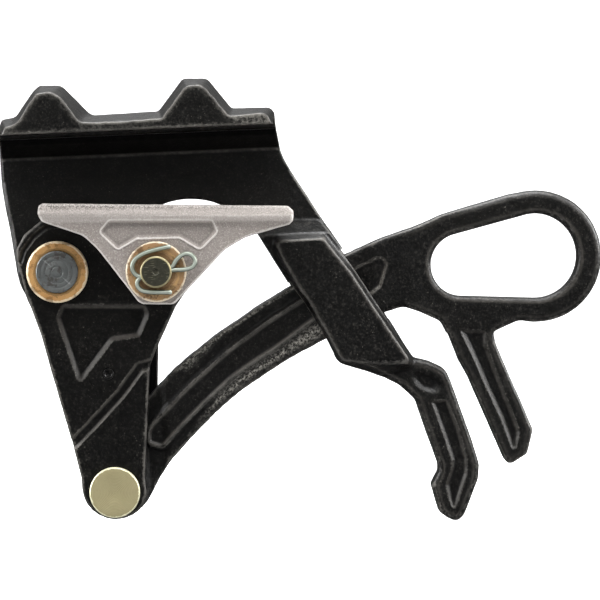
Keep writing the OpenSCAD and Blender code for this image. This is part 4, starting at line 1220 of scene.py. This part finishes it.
def build_cotter():
    verts, faces = [], []
    for run, radius in ((COTTER_HEAD, 1.08), (COTTER_SHANK, 1.1), (COTTER_LEG, 1.1)):
        spots = [place(point, 36) for point in run]
        new_verts, new_faces = tube(spline([(x, -COTTER_FRONT, z) for x, z in spots]), radius)
        faces += [tuple(i + len(verts) for i in face) for face in new_faces]
        verts += new_verts
    mesh_piece("jaw_cotter", "wire", verts, faces, "link", BRIGHT, sharp=60)


def build_spring():
    """One leg through the rear plate, then the coil in the frame's pocket."""
    leg_end = LINK_OUT - 1
    path = [(SPRING_LEG[0], leg_end - (leg_end - 5.6) * i / 13, SPRING_LEG[1])
            for i in range(14)]
    for i in range(1, 150):
        a = math.radians(SPRING_START + 612 * i / 149)
        path.append((SPRING_R * math.cos(a), 5.25 - 2.7 * i / 149, SPRING_R * math.sin(a)))
    mesh_piece("return_spring", "wire", *tube(path, 0.74, sides=14), "link", SPRING, sharp=60)


build_cotter()
build_spring()

# ------------------------------------------------------------------ setting, in metres
OX, OY, OZ = OFFSET * 0.001
FLOOR_Z = -0.1285 + OZ
AIM = (0.1 + OX, OY, -0.01 + OZ)
CAMERA_BACK = 1.4
VIEW_WIDTH = 0.288                               # seen at mid depth


def floor_material():
    """Pale floor that glows to the camera."""
    mat = Shader("pale_floor")
    mat.colour = mat.mix(mat.noise(scale=4, detail=2, rough=0.5),
                         (0.58, 0.58, 0.58), (0.62, 0.62, 0.62))
    seen = mat.tree.nodes.new("ShaderNodeLightPath").outputs["Is Camera Ray"]
    return mat.finish(Roughness=0.9, Specular_IOR_Level=0.1, Emission_Color=mat.colour,
                      Emission_Strength=mat.math("MULTIPLY_ADD", seen, 1.5, 0.1))


def sweep():
    """Pale floor that curves up into a wall behind the part."""
    profile = [(-0.35 + OY, FLOOR_Z), (1.5, FLOOR_Z)]
    for degrees in range(6, 91, 6):
        a = math.radians(degrees)
        profile.append((1.5 + math.sin(a), FLOOR_Z + 1 - math.cos(a)))
    profile.append((2.5, 4.0))
    verts = [(x, y, z) for y, z in profile for x in (-4.0, 4.2)]
    faces = [(2 * i, 2 * i + 1, 2 * i + 3, 2 * i + 2) for i in range(len(profile) - 1)]
    me = bpy.data.meshes.new("sweep")
    me.from_pydata(verts, [], faces)
    me.shade_smooth()
    me.materials.append(floor_material())
    return link_object("sweep", me)


def softbox(name, where, size, power):
    """Area light, placed from the pivot and turned to AIM."""
    light = bpy.data.lights.new(name, "AREA")
    light.shape = "RECTANGLE"
    light.size, light.size_y = size
    light.energy = power
    ob = bpy.data.objects.new(name, light)
    ob.location = where = (where[0] + OX, where[1] + OY, where[2] + OZ)
    look = Vector(AIM) - Vector(where)
    ob.rotation_euler = look.to_track_quat("-Z", "Y").to_euler()
    bpy.context.scene.collection.objects.link(ob)
    return ob


def studio_world():
    """White world, brighter overhead, full white to the camera."""
    world = bpy.data.worlds.new("studio")
    bpy.context.scene.world = world
    world.use_nodes = True
    nodes, links = world.node_tree.nodes, world.node_tree.links
    background = next(n for n in nodes if n.type == "BACKGROUND")
    direction = nodes.new("ShaderNodeTexCoord")
    split = nodes.new("ShaderNodeSeparateXYZ")
    fade = nodes.new("ShaderNodeMapRange")
    fade.interpolation_type = "SMOOTHSTEP"
    path = nodes.new("ShaderNodeLightPath")
    strength = nodes.new("ShaderNodeMath")
    strength.operation = "MAXIMUM"
    links.new(direction.outputs["Generated"], split.inputs[0])
    links.new(split.outputs[2], fade.inputs[0])
    # from height 0.15 to 0.85, strength 0.07 to 0.85
    for i, value in enumerate((0.15, 0.85, 0.07, 0.85)):
        fade.inputs[i + 1].default_value = value
    links.new(fade.outputs[0], strength.inputs[0])
    links.new(path.outputs["Is Camera Ray"], strength.inputs[1])
    links.new(strength.outputs[0], background.inputs["Strength"])
    background.inputs["Color"].default_value = (1, 1, 1, 1)


def camera():
    """In front of the datum, tilted as the outlines are, then turned right and down."""
    x, z = place((0, 0))
    cam = bpy.data.cameras.new("camera")
    ob = link_object("camera", cam)
    forward = Vector((0, 1, 0))
    up = Vector((SIN_TILT, 0, COS_TILT))
    level = Matrix((forward.cross(up), up, -forward)).transposed().to_4x4()
    aim = Vector((0.0192, -0.048, -CAMERA_BACK))
    turn = Vector((0, 0, -1)).rotation_difference(aim).to_matrix().to_4x4()
    spot = Vector((x * 0.001 + OX, -CAMERA_BACK + OY, z * 0.001 + OZ))
    ob.matrix_world = Matrix.Translation(spot) @ level @ turn
    cam.sensor_width = 36
    cam.lens = 36 * aim.length / VIEW_WIDTH
    bpy.context.scene.camera = ob


floor = sweep()
key = softbox("key", where=(-0.2, -0.8, 1.15), size=(0.9, 0.6), power=26)
top = softbox("top", where=(0.15, 0.05, 1.15), size=(1.6, 0.7), power=38)
left = softbox("left", where=(-1.15, -0.05, 0.4), size=(0.8, 0.9), power=26)
right = softbox("right", where=(1.35, -0.05, 0.45), size=(0.8, 0.9), power=34)
floor.visible_glossy = False
key.visible_glossy = False
studio_world()
camera()
bpy.context.scene.view_settings.view_transform = "Standard"
